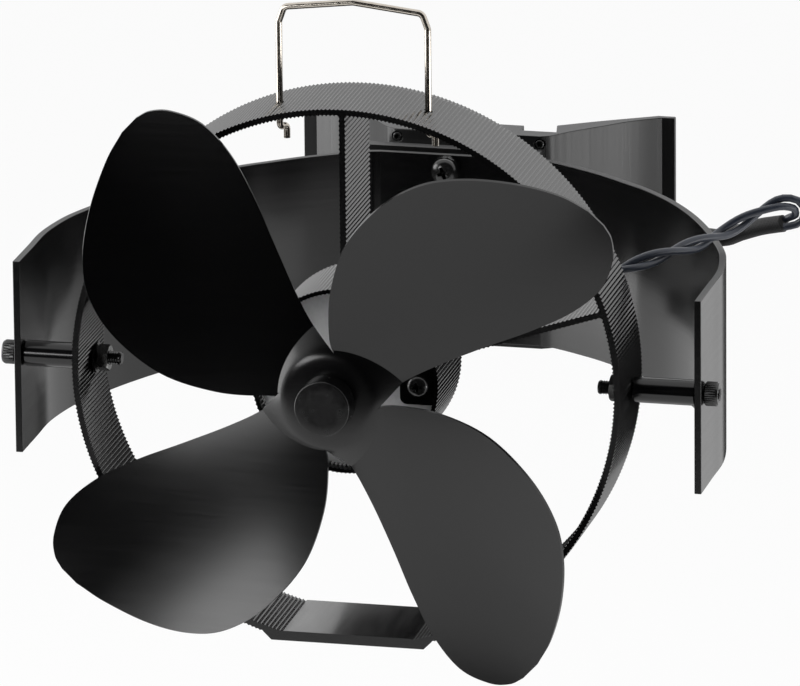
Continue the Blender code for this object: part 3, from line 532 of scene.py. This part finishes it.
def makeRing():
    bore = ring["radius"] - ring["wall"]
    inner = ring["innerRadius"]
    pitch = math.tau / ring["flutes"]
    meet = math.asin(ring["footTopHalf"] / ring["radius"])
    outer = flutedArc(ring["radius"], -math.pi / 2 + meet, 1.5 * math.pi - meet,
                      round((math.tau - 2 * meet) / pitch), ring["fluteDepth"], True)
    loops = [outer + [(-ring["footHalf"], -ring["footDrop"]), (ring["footHalf"], -ring["footDrop"])]]
    half = ring["spoke"] / 2
    footTop = ring["footThickness"] - ring["footDrop"]
    footAngle = math.acos(-footTop / bore)
    for index in range(ring["spokes"]):
        first = math.pi / 2 + math.tau * index / ring["spokes"]
        last = first + math.tau / ring["spokes"]
        outerTrim, innerTrim = math.asin(half / bore), math.asin(half / inner)
        fluted = [(first + outerTrim, last - outerTrim)]
        if index == ring["footBay"]:
            fluted = [(fluted[0][0], 1.5 * math.pi - footAngle), (1.5 * math.pi + footAngle, fluted[0][1])]
        wall = []
        for start, end in fluted:
            wall += flutedArc(bore, start, end, round((end - start) / pitch), ring["boreFlute"], False)
        low, high = math.sqrt(inner ** 2 - half ** 2), math.sqrt(bore ** 2 - half ** 2)
        root = flutedArc(inner, last - innerTrim, first + innerTrim, ring["outerFlutes"], ring["spokeFlute"], True)
        loops.append(wall + spokeEdge(last, -half, low, high)[::-1] + root + spokeEdge(first, half, low, high))
    innerBore = inner - ring["innerWall"]
    loops.append(flutedArc(innerBore, 0, math.tau, ring["innerFlutes"], ring["spokeFlute"], False)[:-1])
    shape = bmesh.new()
    middle = (0, (ringFrontY + ringBackY) / 2, axisZ)
    fillOutline(shape, loops, ringBackY - ringFrontY, placed(middle, "front"))
    return linkMesh("flutedRing", shape, ringFinish, "frame", 40)


def makeLugs():
    shape = bmesh.new()
    root = ring["innerRadius"] - ring["innerWall"] * lug["root"]
    angle = math.asin(lug["half"] / root)
    corner = lug["corner"]
    for sign in (1, -1):
        wall = arc(root, -angle, 2 * angle, 10)
        top = arc(corner, math.pi / 2, math.pi / 2, 6)
        low = arc(corner, math.pi, math.pi / 2, 6)
        inside = lug["reach"] + corner
        loop = wall + [(inside + x, lug["half"] - corner + y) for x, y in top]
        loop += [(inside + x, corner - lug["half"] + y) for x, y in low]
        hole = [(lug["screwX"] + x, y) for x, y in arc(lug["hole"], 0, math.tau, 24)[:-1]]
        loops = [[(sign * x, y) for x, y in line] for line in (loop, hole)]
        y = ringFrontY + lug["gap"] + lug["thickness"] / 2
        fillOutline(shape, loops, lug["thickness"], placed((0, y, axisZ), "front"))
    return linkMesh("screwLugs", shape, ringFinish, "frame", 30)


flutedRing = makeRing()
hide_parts("heat_sink_ring")
holes = bmesh.new()
for sign in (1, -1):
    addPin(holes, ring["boltHole"], ring["boltDrill"], 24,
           placed((sign * ring["radius"], sideBoltY, 0), "right"))
    top = axisZ + math.sqrt(ring["radius"] ** 2 - ring["handleX"] ** 2)
    addPin(holes, ring["handleHole"], ring["handleDrill"], 20,
           placed((sign * ring["handleX"], (ringFrontY + ringBackY) / 2, top)))
cutAway(flutedRing, holes)
lugs = makeLugs()
print("ring", len(flutedRing.data.polygons), "faces")


# cooling wing: bent sheet with a soft plan curve
wing = {"halfWidth": 0.0994, "frontY": -0.1545, "depth": 0.1342, "height": 0.057, "sheet": 0.002,
        "boltHole": 0.0023, "bushHole": 0.0033, "bushX": 0.004, "bushZ": 0.0243, "drill": 0.003, "edge": 0.00022}
# half of the bend seen from above, in shares of half the width and of the depth
wingPlan = [
    (1.000, 0.000), (1.000, 0.120), (1.000, 0.231), (0.979, 0.335), (0.952, 0.402),
    (0.915, 0.469), (0.870, 0.544), (0.800, 0.641), (0.714, 0.734), (0.614, 0.816),
    (0.538, 0.864), (0.448, 0.917), (0.352, 0.963), (0.280, 0.992), (0.240, 1.000),
]


def makeWing():
    half = smoothPath([(x, y, 0) for x, y in wingPlan], 5)
    right = [Vector((p.x * wing["halfWidth"], wing["frontY"] + p.y * wing["depth"])) for p in half]
    line = [Vector((-p.x, p.y)) for p in right] + right[::-1]
    sides = ([], [])
    for index, point in enumerate(line):
        along = (line[min(index + 1, len(line) - 1)] - line[max(index - 1, 0)]).normalized()
        reach = Vector((-along.y, along.x)) * wing["sheet"] / 2
        sides[0].append(tuple(point + reach))
        sides[1].append(tuple(point - reach))
    shape = bmesh.new()
    fillOutline(shape, [sides[0] + sides[1][::-1]], wing["height"], Matrix.Identity(4))
    piece = linkMesh("bentWing", shape, wingFinish, "frame", 30)
    holes = bmesh.new()
    for side in (1, -1):
        addPin(holes, wing["boltHole"], wing["drill"], 28,
               placed((side * wing["halfWidth"], sideBoltY, 0), "right"))
        backY = wing["frontY"] + wing["depth"]
        addPin(holes, wing["bushHole"], wing["drill"], 28,
               placed((-side * wing["bushX"], backY, side * wing["bushZ"]), "front"))
    cutAway(piece, holes)
    softenEdges(piece, wing["edge"])
    return piece


wingPiece = makeWing()
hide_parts("cooling_wing")
print("wing made")


# fan wheel: one pressed sheet, four blades round a flat-fronted cone
fan = {"blades": 4, "tip": 0.0953, "station": 0.05, "halfChord": 0.03, "thickness": 0.001,
       "turn": math.radians(44.2), "pitch": 0.0071, "twist": 0.00069, "rake": 0.0012, "cup": 0.00163,
       "cupGain": 0.00817, "bend": 0.35, "rootReturn": -0.00062, "columns": 30,
       "valley": 0.014, "valleyTurn": math.radians(51), "domeStart": 0.008,
       "coneFrontRadius": 0.0133, "coneFront": 0.0022, "domeSlope": 0.05, "coneSlope": 0.68,
       "soften": 0.0012, "bulge": 0.0027, "edge": 0.00025, "creaseAngle": 32,
       "coneRows": (0.0049, 0.0062, 0.0076, 0.0088, 0.0100, 0.0108, 0.0115, 0.0121, 0.0127, 0.0132, 0.0137, 0.0140)}
# a blade's two edges, in shares of the tip radius and of half the chord
leadingShares = [
    (0.114, 0.294), (0.147, 0.463), (0.248, 0.747), (0.395, 0.980), (0.567, 1.033),
    (0.708, 0.933), (0.811, 0.707), (0.900, 0.367), (0.967, -0.017), (0.997, -0.317),
]
trailingShares = [
    (0.092, -0.363), (0.186, -0.343), (0.304, -0.443), (0.456, -0.620), (0.598, -0.797),
    (0.735, -0.923), (0.855, -0.937), (0.944, -0.810), (0.987, -0.660), (1.000, -0.517),
]


def coneDepth(reach, sideways):
    # nearly flat front, then the skirt behind a softened rim
    radius = math.hypot(reach, sideways)
    past = radius - fan["coneFrontRadius"]
    skirt = (past + math.sqrt(past * past + fan["soften"] ** 2)) / 2
    return fan["domeSlope"] * max(0, radius - fan["domeStart"]) + fan["coneSlope"] * skirt - fan["coneFront"]


def twistDepth(reach, sideways):
    out = (reach - fan["station"]) / fan["station"]
    across = sideways / fan["halfChord"]
    slope = fan["pitch"] + fan["twist"] * out - fan["rootReturn"] * out ** 2
    cup = fan["cup"] + fan["cupGain"] * out
    bend = math.sqrt(across ** 2 + fan["bend"] ** 2) - fan["bend"]
    return -slope * across - fan["rake"] * out - cup * bend


def bladeDepth(reach, sideways):
    cone = coneDepth(reach, sideways)
    if math.hypot(reach, sideways) <= fan["valley"]:
        return cone
    return min(cone, twistDepth(reach, sideways))


def alongEdge(edge, place):
    index = min(int(place), len(edge) - 2)
    return edge[index].lerp(edge[index + 1], place - index)


def onCrease(place):
    # where the cone's skirt and the twisted blade meet, straight out from a place
    low, high = math.sqrt(max(0, fan["valley"] ** 2 - place.y ** 2)), 2 * fan["valley"]
    for step in range(30):
        middle = (low + high) / 2
        if twistDepth(middle, place.y) > coneDepth(middle, place.y):
            low = middle
        else:
            high = middle
    return Vector((low, place.y))


def bladeRows():
    columns = fan["columns"]
    rows = []
    for radius in fan["coneRows"]:
        rows.append([Vector(place) for place in arc(radius, math.pi / 2 - fan["valleyTurn"], -math.pi / 2, columns)])
    edges = []
    for shares in (leadingShares, trailingShares):
        path = smoothPath([(r * fan["tip"], s * fan["halfChord"], 0) for r, s in shares], 8)
        edges.append([Vector((point.x, point.y)) for point in path])
    leading, trailing = edges
    # each row's place along the leading and the trailing edge, in points of their paths, and along the blade
    stations = [(1.6 + 6.4 * step / 6, 8 + 2 * step / 6, step / 6) for step in range(6)]
    stations += [(8 + step, 10 + step / 2, 1 + step / 4) for step in range(4)]
    stations += [(place, place, 2 + (place - 12) / 4) for place in range(12, len(leading))]
    crease = None
    for fore, aft, along in stations:
        one, two = alongEdge(leading, fore), alongEdge(trailing, aft)
        bulge = fan["bulge"] * max(0, 1 - along / 6)
        row = []
        for column in range(columns + 1):
            share = column / columns
            point = one.lerp(two, share)
            row.append(Vector((point.x + bulge * 4 * share * (1 - share), point.y)))
        if crease is None:
            crease = [onCrease(place) - place for place in row]
            snapped = [place + move for place, move in zip(row, crease)]
            last = rows[-1]
            # five more rows lead from the cone to the blade's first one
            for step in range(1, 6):
                rows.append([before.lerp(after, step / 6) for before, after in zip(last, snapped)])
        rows.append([place + move * max(0, 1 - along) for place, move in zip(row, crease)])
    return rows


def makeBlades():
    shape = bmesh.new()
    rows = bladeRows()
    for number in range(fan["blades"]):
        turn = Matrix.Rotation(-(fan["turn"] + math.tau * number / fan["blades"]), 4, "Y")
        place = Matrix.Translation((0, fanY, axisZ)) @ turn
        grid = []
        for row in rows:
            grid.append([shape.verts.new(place @ Vector((p.x, bladeDepth(p.x, p.y), p.y))) for p in row])
        for low, high in zip(grid, grid[1:]):
            for i in range(fan["columns"]):
                shape.faces.new((low[i], low[i + 1], high[i + 1], high[i]))
    piece = linkMesh("pressedBlades", shape, bladeFinish, "rotor", fan["creaseAngle"])
    thick = piece.modifiers.new("thick", "SOLIDIFY")
    thick.thickness = fan["thickness"]
    thick.offset = 0
    thick.use_even_offset = True
    softenEdges(piece, fan["edge"], fan["creaseAngle"])
    return piece


blades = makeBlades()
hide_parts("fan_blades")

hub = {"radius": 0.008, "edge": 0.0004, "neck": 0.0046, "gap": 0.0003, "dish": 0.00005, "dishShare": 0.6}


def makeHub():
    low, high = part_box("hub_boss")
    front, back = fanY - low.y, fanY - high.y
    capBack = fan["coneFront"] + fan["thickness"] / 2 + hub["gap"]
    radius, edge, neck = hub["radius"], hub["edge"], hub["neck"]
    share = hub["dishShare"]
    profile = [(0, front - hub["dish"]), (radius * share, front - hub["dish"] * share)]
    profile += [(radius - edge + x, front - edge + y) for y, x in arc(edge, 0, math.pi / 2, 6)]
    profile += [(radius, capBack), (neck, capBack), (neck, back), (0, back)]
    shape = bmesh.new()
    turnProfile(shape, profile, 96, placed((0, fanY, axisZ), "front"))
    piece = linkMesh("hubCap", shape, hubPlastic, "rotor", 40)
    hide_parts("hub_boss")


makeHub()
print("fan wheel made")


# handle wire
wire = {"radius": 0.00095, "half": 0.0216, "shoulder": 0.02, "rise": 0.105, "roof": 0.0023,
        "jogHeight": 0.06956, "jogBack": 0.0034, "jogSide": 0.0012, "tail": 0.0039, "bend": 0.0022}


def cornerArc(before, corner, after, radius, steps):
    # rounds a corner between two straight stretches
    corner = Vector(corner)
    first = (Vector(before) - corner).normalized()
    second = (Vector(after) - corner).normalized()
    half = first.angle(second) / 2
    middle = corner + (first + second).normalized() * (radius / math.sin(half))
    start = corner + first * (radius / math.tan(half)) - middle
    end = corner + second * (radius / math.tan(half)) - middle
    return [middle + start.slerp(end, step / steps, start).normalized() * radius for step in range(steps + 1)]


def handlePath():
    corners = []
    low = wire["jogHeight"] - wire["tail"]
    for side in (-1, 1):
        leg = side * wire["half"]
        tail = leg + wire["jogSide"]
        half = [(tail, wire["jogBack"], low), (tail, wire["jogBack"], wire["jogHeight"]),
                (leg, 0, wire["jogHeight"]), (leg, 0, wire["rise"] - 2 * wire["bend"]),
                (side * wire["shoulder"], 0, wire["rise"])]
        corners += half if side < 0 else half[::-1]
    corners.insert(5, (0, 0, wire["rise"] + wire["roof"]))
    path = [Vector(corners[0])]
    for before, corner, after in zip(corners, corners[1:], corners[2:]):
        shorter = min((Vector(corner) - Vector(end)).length for end in (before, after))
        path += cornerArc(before, corner, after, min(wire["bend"], shorter * 0.4), 8)
    path.append(Vector(corners[-1]))
    middle = Vector((0, (ringFrontY + ringBackY) / 2, axisZ))
    return [point + middle for point in path]


handle = linkTube("handleWire", handlePath(), wire["radius"], nickel, "handle", 8)
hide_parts("handle")
print("handle made")


# flue saddle: drawn extrusion with a soft bend between its middle and its arms
saddle = {"thickness": 0.0105, "height": 0.0654, "half": 0.0565, "sweep": 0.0185, "grooveStart": 0.0146,
          "grooveEnd": 0.0254, "grooveDepth": 0.005, "grooveStep": 0.0022, "grooveLean": 0.0014, "edge": 0.0003,
          "grubX": 0.0215, "grubZ": 0.0302, "grubRadius": 0.0016, "clampX": 0.004, "clampZ": 0.0243,
          "clampRadius": 0.0023, "drillY": -0.01, "drill": 0.02}
# half of the section, in shares of half the width and of the depth, then of the sweep behind
saddleFront = [
    (0.390, 0.000), (0.437, 0.050), (0.469, 0.125), (0.524, 0.250), (0.602, 0.400),
    (0.672, 0.530), (0.745, 0.675), (0.825, 0.800), (0.931, 0.935),
]
saddleBack = [(0.903, 1.000), (0.627, 0.514)]


def makeSaddle():
    depth = saddle["thickness"] + saddle["sweep"]
    front = [(x * saddle["half"], y * depth - saddle["thickness"], 0) for x, y in saddleFront]
    right = [(point.x, point.y) for point in smoothPath(front, 5)]
    right += [(saddle["half"], front[-1][1]), (saddle["half"], saddle["sweep"])]
    back = [(x * saddle["half"], y * saddle["sweep"], 0) for x, y in saddleBack]
    back.append((saddle["grooveEnd"] - saddle["grooveLean"], saddle["grooveStep"], 0))
    right += [(point.x, point.y) for point in smoothPath(back, 6)]
    right += [(saddle["grooveEnd"], -saddle["grooveDepth"]), (saddle["grooveStart"], -saddle["grooveDepth"]),
              (saddle["grooveStart"], 0)]
    left = [(-x, y) for x, y in reversed(right)]
    shape = bmesh.new()
    fillOutline(shape, [right + left], saddle["height"], Matrix.Identity(4))
    piece = linkMesh("flueSaddle", shape, saddleFinish, "frame", 28)
    holes = bmesh.new()
    for side in (1, -1):
        addPin(holes, saddle["grubRadius"], saddle["drill"], 24,
               placed((side * saddle["grubX"], saddle["drillY"], saddle["grubZ"]), "front"))
        addPin(holes, saddle["clampRadius"], saddle["drill"], 24,
               placed((-side * saddle["clampX"], saddle["drillY"], side * saddle["clampZ"]), "front"))
    cutAway(piece, holes)
    softenEdges(piece, saddle["edge"])
    return piece


saddlePiece = makeSaddle()
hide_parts("flue_saddle")
print("saddle made")


# screws with their recesses, knurls and threads
screw = {"flank": 0.25, "threadDepth": 0.45, "tip": 0.7, "neck": 0.0006, "edge": 0.00008}
cross = {"reach": 0.52, "sink": 0.8, "thin": 0.28, "lift": 0.0006, "mouth": 1.05, "bottom": 0.55}


def crossRecess(shape, wide, depth, matrix):
    # tapered plus sign sunk along the screw's axis
    start = len(shape.verts)
    thin = wide * cross["thin"]
    plus = [(wide, -thin), (wide, thin), (thin, thin), (thin, wide), (-thin, wide), (-thin, thin), (-wide, thin),
            (-wide, -thin), (-thin, -thin), (-thin, -wide), (thin, -wide), (thin, -thin)]
    rings = []
    for height, taper in ((cross["lift"], cross["mouth"]), (-depth, cross["bottom"])):
        rings.append([shape.verts.new((x * taper, y * taper, height)) for x, y in plus])
    joinRings(shape, rings)
    shape.faces.new(rings[0])
    shape.faces.new(rings[1])
    moveNew(shape, start, matrix)


def panHead(radius, height):
    # crown of the head as an arc from its middle to its rim
    flank = screw["flank"]
    angles = [math.radians(angle) for angle in range(0, 91, 10)]
    return [(radius * math.sin(angle), height * (flank + (1 - flank) * math.cos(angle))) for angle in angles]


def threadProfile(radius, start, length, pitch):
    points = []
    count = int(length / pitch)
    for turn in range(count):
        top = start - turn * pitch
        points += [(radius, top), (radius - pitch * screw["threadDepth"], top - pitch / 2)]
    points.append((radius, start - count * pitch))
    return points


def panScrew(name, node, place, size):
    head, height, shank, length = size["head"], size["height"], size["shank"], size["length"]
    matrix = placed(place, "front")
    shape = bmesh.new()
    profile = panHead(head, height) + [(head, 0.0), (shank, 0.0)]
    profile += threadProfile(shank, -screw["neck"], length - 2 * screw["neck"], size["pitch"])
    profile += [(shank * screw["tip"], -length), (0, -length)]
    turnProfile(shape, profile, 48, matrix)
    piece = linkMesh(name, shape, screwBlack, "frame", 40)
    recess = bmesh.new()
    lift = Matrix.Translation((0, 0, height)) @ Matrix.Rotation(math.radians(size["turn"]), 4, "Z")
    crossRecess(recess, head * cross["reach"], height * cross["sink"], matrix @ lift)
    cutAway(piece, recess)
    softenEdges(piece, screw["edge"])
    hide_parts(node)


bracketScrew = {"head": 0.0031, "height": 0.0022, "shank": 0.0015, "length": 0.0085, "pitch": 0.0005, "turn": 12}
for side, word in ((1, "right"), (-1, "left")):
    place = (side * lug["screwX"], ringFrontY, axisZ)
    panScrew("bracketScrew_" + word, "bracket_screw_" + word, place, bracketScrew)
clampScrew = {"head": 0.0039, "height": 0.0028, "shank": 0.002, "length": 0.02, "pitch": 0.0007, "turn": 20}
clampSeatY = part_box("clamp_screw_upper")[1].y - clampScrew["length"]
for side, word in ((1, "upper"), (-1, "lower")):
    place = (-side * saddle["clampX"], clampSeatY, side * saddle["clampZ"])
    panScrew("clampScrew_" + word, "clamp_screw_" + word, place, clampScrew)

grub = {"radius": 0.0013, "length": 0.0055, "rim": 0.0002, "pitch": 0.0005, "socket": 0.000805, "depth": 0.0016}
for side, word in ((1, "right"), (-1, "left")):
    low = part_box("grub_screw_" + word)[0]
    place = (side * saddle["grubX"], low.y, saddle["grubZ"])
    shape = bmesh.new()
    radius, rim, length = grub["radius"], grub["rim"], grub["length"]
    profile = [(0, 0), (radius - rim, 0), (radius, -rim)]
    profile += threadProfile(radius, -rim, length - 2 * rim, grub["pitch"])[1:]
    profile += [(radius - rim, -length), (0, -length)]
    turnProfile(shape, profile, 32, placed(place, "front"))
    piece = linkMesh("grubScrew_" + word, shape, screwBlack, "frame", 40)
    socket = bmesh.new()
    profile = [(0, 0.001), (grub["socket"], 0.001), (grub["socket"], -grub["depth"]), (0, -grub["depth"])]
    turnProfile(socket, profile, 6, placed(place, "front"))
    cutAway(piece, socket)
    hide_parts("grub_screw_" + word)

sideBolt = {"radius": 0.002, "head": 0.0035, "height": 0.004, "socket": 0.0017, "socketDepth": 0.0022,
            "mouth": 1.22, "mouthDepth": 0.0003, "length": 0.031, "plain": 0.0125, "runIn": 0.0001,
            "runOut": 0.0009, "edge": 0.0004, "knurls": 36, "knurlDepth": 0.00016, "pitch": 0.0007}


def makeSideBolt(side, word):
    # one closed skin: threaded shank, knurled head and hexagon socket
    low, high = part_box("side_bolt_" + word)
    height, edge, radius = sideBolt["height"], sideBolt["edge"], sideBolt["radius"]
    headX = high.x - height if side > 0 else low.x + height
    matrix = placed((headX, sideBoltY, 0), "right" if side > 0 else "left")
    count = 2 * sideBolt["knurls"]
    head, socket = sideBolt["head"], sideBolt["socket"]
    length, plain = sideBolt["length"], sideBolt["plain"]
    levels = [(-length, radius - edge, "round"), (-length + edge, radius, "round")]
    thread = threadProfile(radius, -plain - sideBolt["runIn"], length - plain - sideBolt["runOut"], sideBolt["pitch"])
    levels += [(level, reach, "round") for reach, level in reversed(thread[1:])]
    levels += [(-plain, radius, "round"), (0, radius, "round"), (0, head - edge, "round"), (edge, head, "knurl"),
               (height - 1.8 * edge, head, "knurl"), (height - 1.2 * edge, head - 0.3 * edge, "round"),
               (height, head - edge, "round"), (height, socket * sideBolt["mouth"], "round"),
               (height - sideBolt["mouthDepth"], socket, "hex"),
               (height - sideBolt["socketDepth"], socket, "hex")]
    shape = bmesh.new()
    rings = []
    for level, reach, kind in levels:
        circle = []
        for step in range(count):
            angle = math.tau * step / count
            out = reach
            if kind == "knurl" and step % 2:
                out = reach - sideBolt["knurlDepth"]
            if kind == "hex":
                out = reach * math.cos(math.pi / 6) / math.cos((angle % (math.pi / 3)) - math.pi / 6)
            circle.append(shape.verts.new(matrix @ Vector((*polar(out, angle), level))))
        rings.append(circle)
    joinRings(shape, rings)
    shape.faces.new(rings[0])
    shape.faces.new(rings[-1])
    piece = linkMesh("sideBolt_" + word, shape, screwBlack, "frame", 30)
    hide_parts("side_bolt_" + word)


nut = {"half": 0.00345, "turned": 0.00352, "slope": 0.577, "bore": 0.0021, "steps": 72}


def makeNut(word):
    # hexagon with the corners turned off at both faces
    low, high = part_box("side_nut_" + word)
    height = high.x - low.x
    shape = bmesh.new()
    rings = []
    matrix = placed((low.x, sideBoltY, 0), "right")
    for end, bore in ((0, True), (0, False), (1, False), (2, False), (3, False), (3, True)):
        circle = []
        for step in range(nut["steps"]):
            angle = math.tau * step / nut["steps"]
            hexagon = nut["half"] / math.cos((angle % (math.pi / 3)) - math.pi / 6)
            fall = max(0, hexagon - nut["turned"]) * nut["slope"]
            reach = nut["bore"] if bore else (min(hexagon, nut["turned"]) if end in (0, 3) else hexagon)
            level = {0: 0, 1: fall, 2: height - fall, 3: height}[end]
            circle.append(shape.verts.new(matrix @ Vector((*polar(reach, angle), level))))
        rings.append(circle)
    joinRings(shape, rings + rings[:1])
    piece = linkMesh("sideNut_" + word, shape, brightNut, "frame", 30)
    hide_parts("side_nut_" + word)


spacer = {"bore": 0.0023, "radius": 0.0037, "rim": 0.0003}


def makeSpacer(word):
    low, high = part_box("side_spacer_" + word)
    bore, radius, rim, length = spacer["bore"], spacer["radius"], spacer["rim"], high.x - low.x
    profile = [(bore, 0), (radius - rim, 0), (radius, rim), (radius, length - rim), (radius - rim, length),
               (bore, length)]
    shape = bmesh.new()
    turnProfile(shape, profile, 64, placed((low.x, sideBoltY, 0), "right"))
    piece = linkMesh("sideSpacer_" + word, shape, spacerFinish, "frame", 40)
    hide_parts("side_spacer_" + word)


cadEdges = {"side_washer_right": 0.0001, "side_washer_left": 0.0001, "hot_plate": 0.0002, "motor_can": 0.0002,
            "motor_bracket": 0.0002, "motor_end_cap": 0.0002, "clamp_washer_upper": 0.0002,
            "clamp_washer_lower": 0.0002}
for side, word in ((1, "right"), (-1, "left")):
    makeSideBolt(side, word)
    makeNut(word)
    makeSpacer(word)
for name, width in cadEdges.items():
    softenEdges(nodes[name], width)
print("screws made")


# floor, room and lamps
# the patch keys place painted shade on the floor behind the fan, seen only in reflections
studio = {"floorZ": -0.3, "floorFront": -0.99, "floorReach": 30, "paint": 0.8, "shadePatchPaint": 0.06,
          "seen": 0.85, "mirrored": 0.5, "soft": 0.05,
          "shadePatchLeft": -0.6, "shadePatchRight": 0.04, "shadePatchLean": 0.21, "shadePatchFront": 0.1, "shadePatchBack": 4.0,
          "room": 1.1, "dark": 0.008, "curtain": (0.12, -0.98, 0.14), "curtainEdge": (0.42, 0.62), "aimY": -0.15}
lamps = {
    "frontSoftbox": {"bearing": -31, "away": 0.93, "height": 0.265, "size": (0.40, 0.29), "lean": -28, "bright": 5.7},
    "leftSoftbox": {"bearing": -82, "away": 0.85, "height": 0.1, "size": (0.62, 0.78), "bright": 3.8},
    "rightSoftbox": {"bearing": 84, "away": 0.72, "height": -0.135, "size": (0.50, 0.12), "bright": 5.2},
}


def between(made, source, low, high):
    # 1 between two places, 0 outside them
    soft = studio["soft"]
    return made.math("MULTIPLY", made.ramp(source, low - soft, low + soft, kind="SMOOTHSTEP"),
                     made.ramp(source, high + soft, high - soft, kind="SMOOTHSTEP"))


def makeFloor():
    # white to the lens and in reflections, where these also meet painted shade: a dark patch painted on the floor
    # behind the fan, which only glossy rays see
    made = Shading(bpy.data.materials.new("paleFloor"))
    made.set("Roughness", 0.8)
    made.set("Specular IOR Level", 0.0)
    glow = made.node("Emission", [("Strength", 1.0)])
    rays = made.node("LightPath").outputs
    axes = made.node("SeparateXYZ")
    made.link(made.place, axes.inputs["Vector"])
    x, y = axes.outputs["X"], axes.outputs["Y"]
    # painted shade: a dark patch behind the fan, dark only to glossy rays
    leant = made.math("SUBTRACT", x, made.math("MULTIPLY", y, studio["shadePatchLean"]))
    paintedShadePatch = made.math("MULTIPLY", between(made, leant, studio["shadePatchLeft"], studio["shadePatchRight"]),
                     between(made, y, studio["shadePatchFront"], studio["shadePatchBack"]))
    bare = made.math("SUBTRACT", 1.0, made.math("MULTIPLY", paintedShadePatch, rays["Is Glossy Ray"]))
    paint = made.math("ADD", made.math("MULTIPLY", bare, studio["paint"]), studio["shadePatchPaint"])
    made.link(paint, made.shader.inputs["Base Color"])
    shiny = made.math("MAXIMUM", rays["Is Glossy Ray"], rays["Is Transmission Ray"])
    shown = made.math("MAXIMUM", made.math("MULTIPLY", rays["Is Camera Ray"], studio["seen"]),
                      made.math("MULTIPLY", shiny, studio["mirrored"]))
    made.mixInto("Material Output", made.math("MULTIPLY", shown, bare), made.shader.outputs["BSDF"],
                 glow.outputs["Emission"])
    reach, edge, level = studio["floorReach"], studio["floorFront"], studio["floorZ"]
    mesh = bpy.data.meshes.new("floor")
    mesh.from_pydata([(-reach, edge, level), (reach, edge, level), (reach, reach, level), (-reach, reach, level)],
                     [], [(0, 1, 2, 3)])
    mesh.materials.append(made.holder)
    linked("floor", mesh)


def makeRoom():
    # pale room with a dark curtain in front of the fan, where the lens looks out
    world = bpy.data.worlds.new("studio")
    bpy.context.scene.world = world
    made = Shading(world, "Generated")
    facing = made.node("VectorMath")
    facing.operation = "DOT_PRODUCT"
    facing.inputs[1].default_value = Vector(studio["curtain"]).normalized()
    made.link(made.place, facing.inputs[0])
    bright = made.ramp(facing.outputs["Value"], *studio["curtainEdge"], studio["room"], studio["dark"], "SMOOTHSTEP")
    room = made.tree.nodes["Background"]
    made.link(bright, room.inputs["Color"])
    white = made.node("Background", [("Color", (1, 1, 1, 1))])
    made.mixInto("World Output", made.node("LightPath").outputs["Is Camera Ray"], room.outputs["Background"],
                 white.outputs["Background"])


def softbox(name, look):
    # hangs at a bearing from the front, turned to the fan
    bearing = math.radians(look["bearing"])
    middle = Vector((math.sin(bearing) * look["away"], studio["aimY"] - math.cos(bearing) * look["away"],
                     look["height"]))
    light = linked(name, bpy.data.lights.new(name, "AREA"))
    light.data.shape = "RECTANGLE"
    light.data.size, light.data.size_y = look["size"]
    light.data.energy = look["bright"] * math.pi * look["size"][0] * look["size"][1]
    light.location = middle
    turn = (Vector((0, studio["aimY"], 0)) - middle).to_track_quat("-Z", "Y").to_matrix()
    light.rotation_euler = (turn @ Matrix.Rotation(math.radians(look.get("lean", 0)), 3, "Z")).to_euler()


makeFloor()
makeRoom()
for name, look in lamps.items():
    softbox(name, look)
bpy.context.scene.view_settings.view_transform = "Standard"
print("studio made")
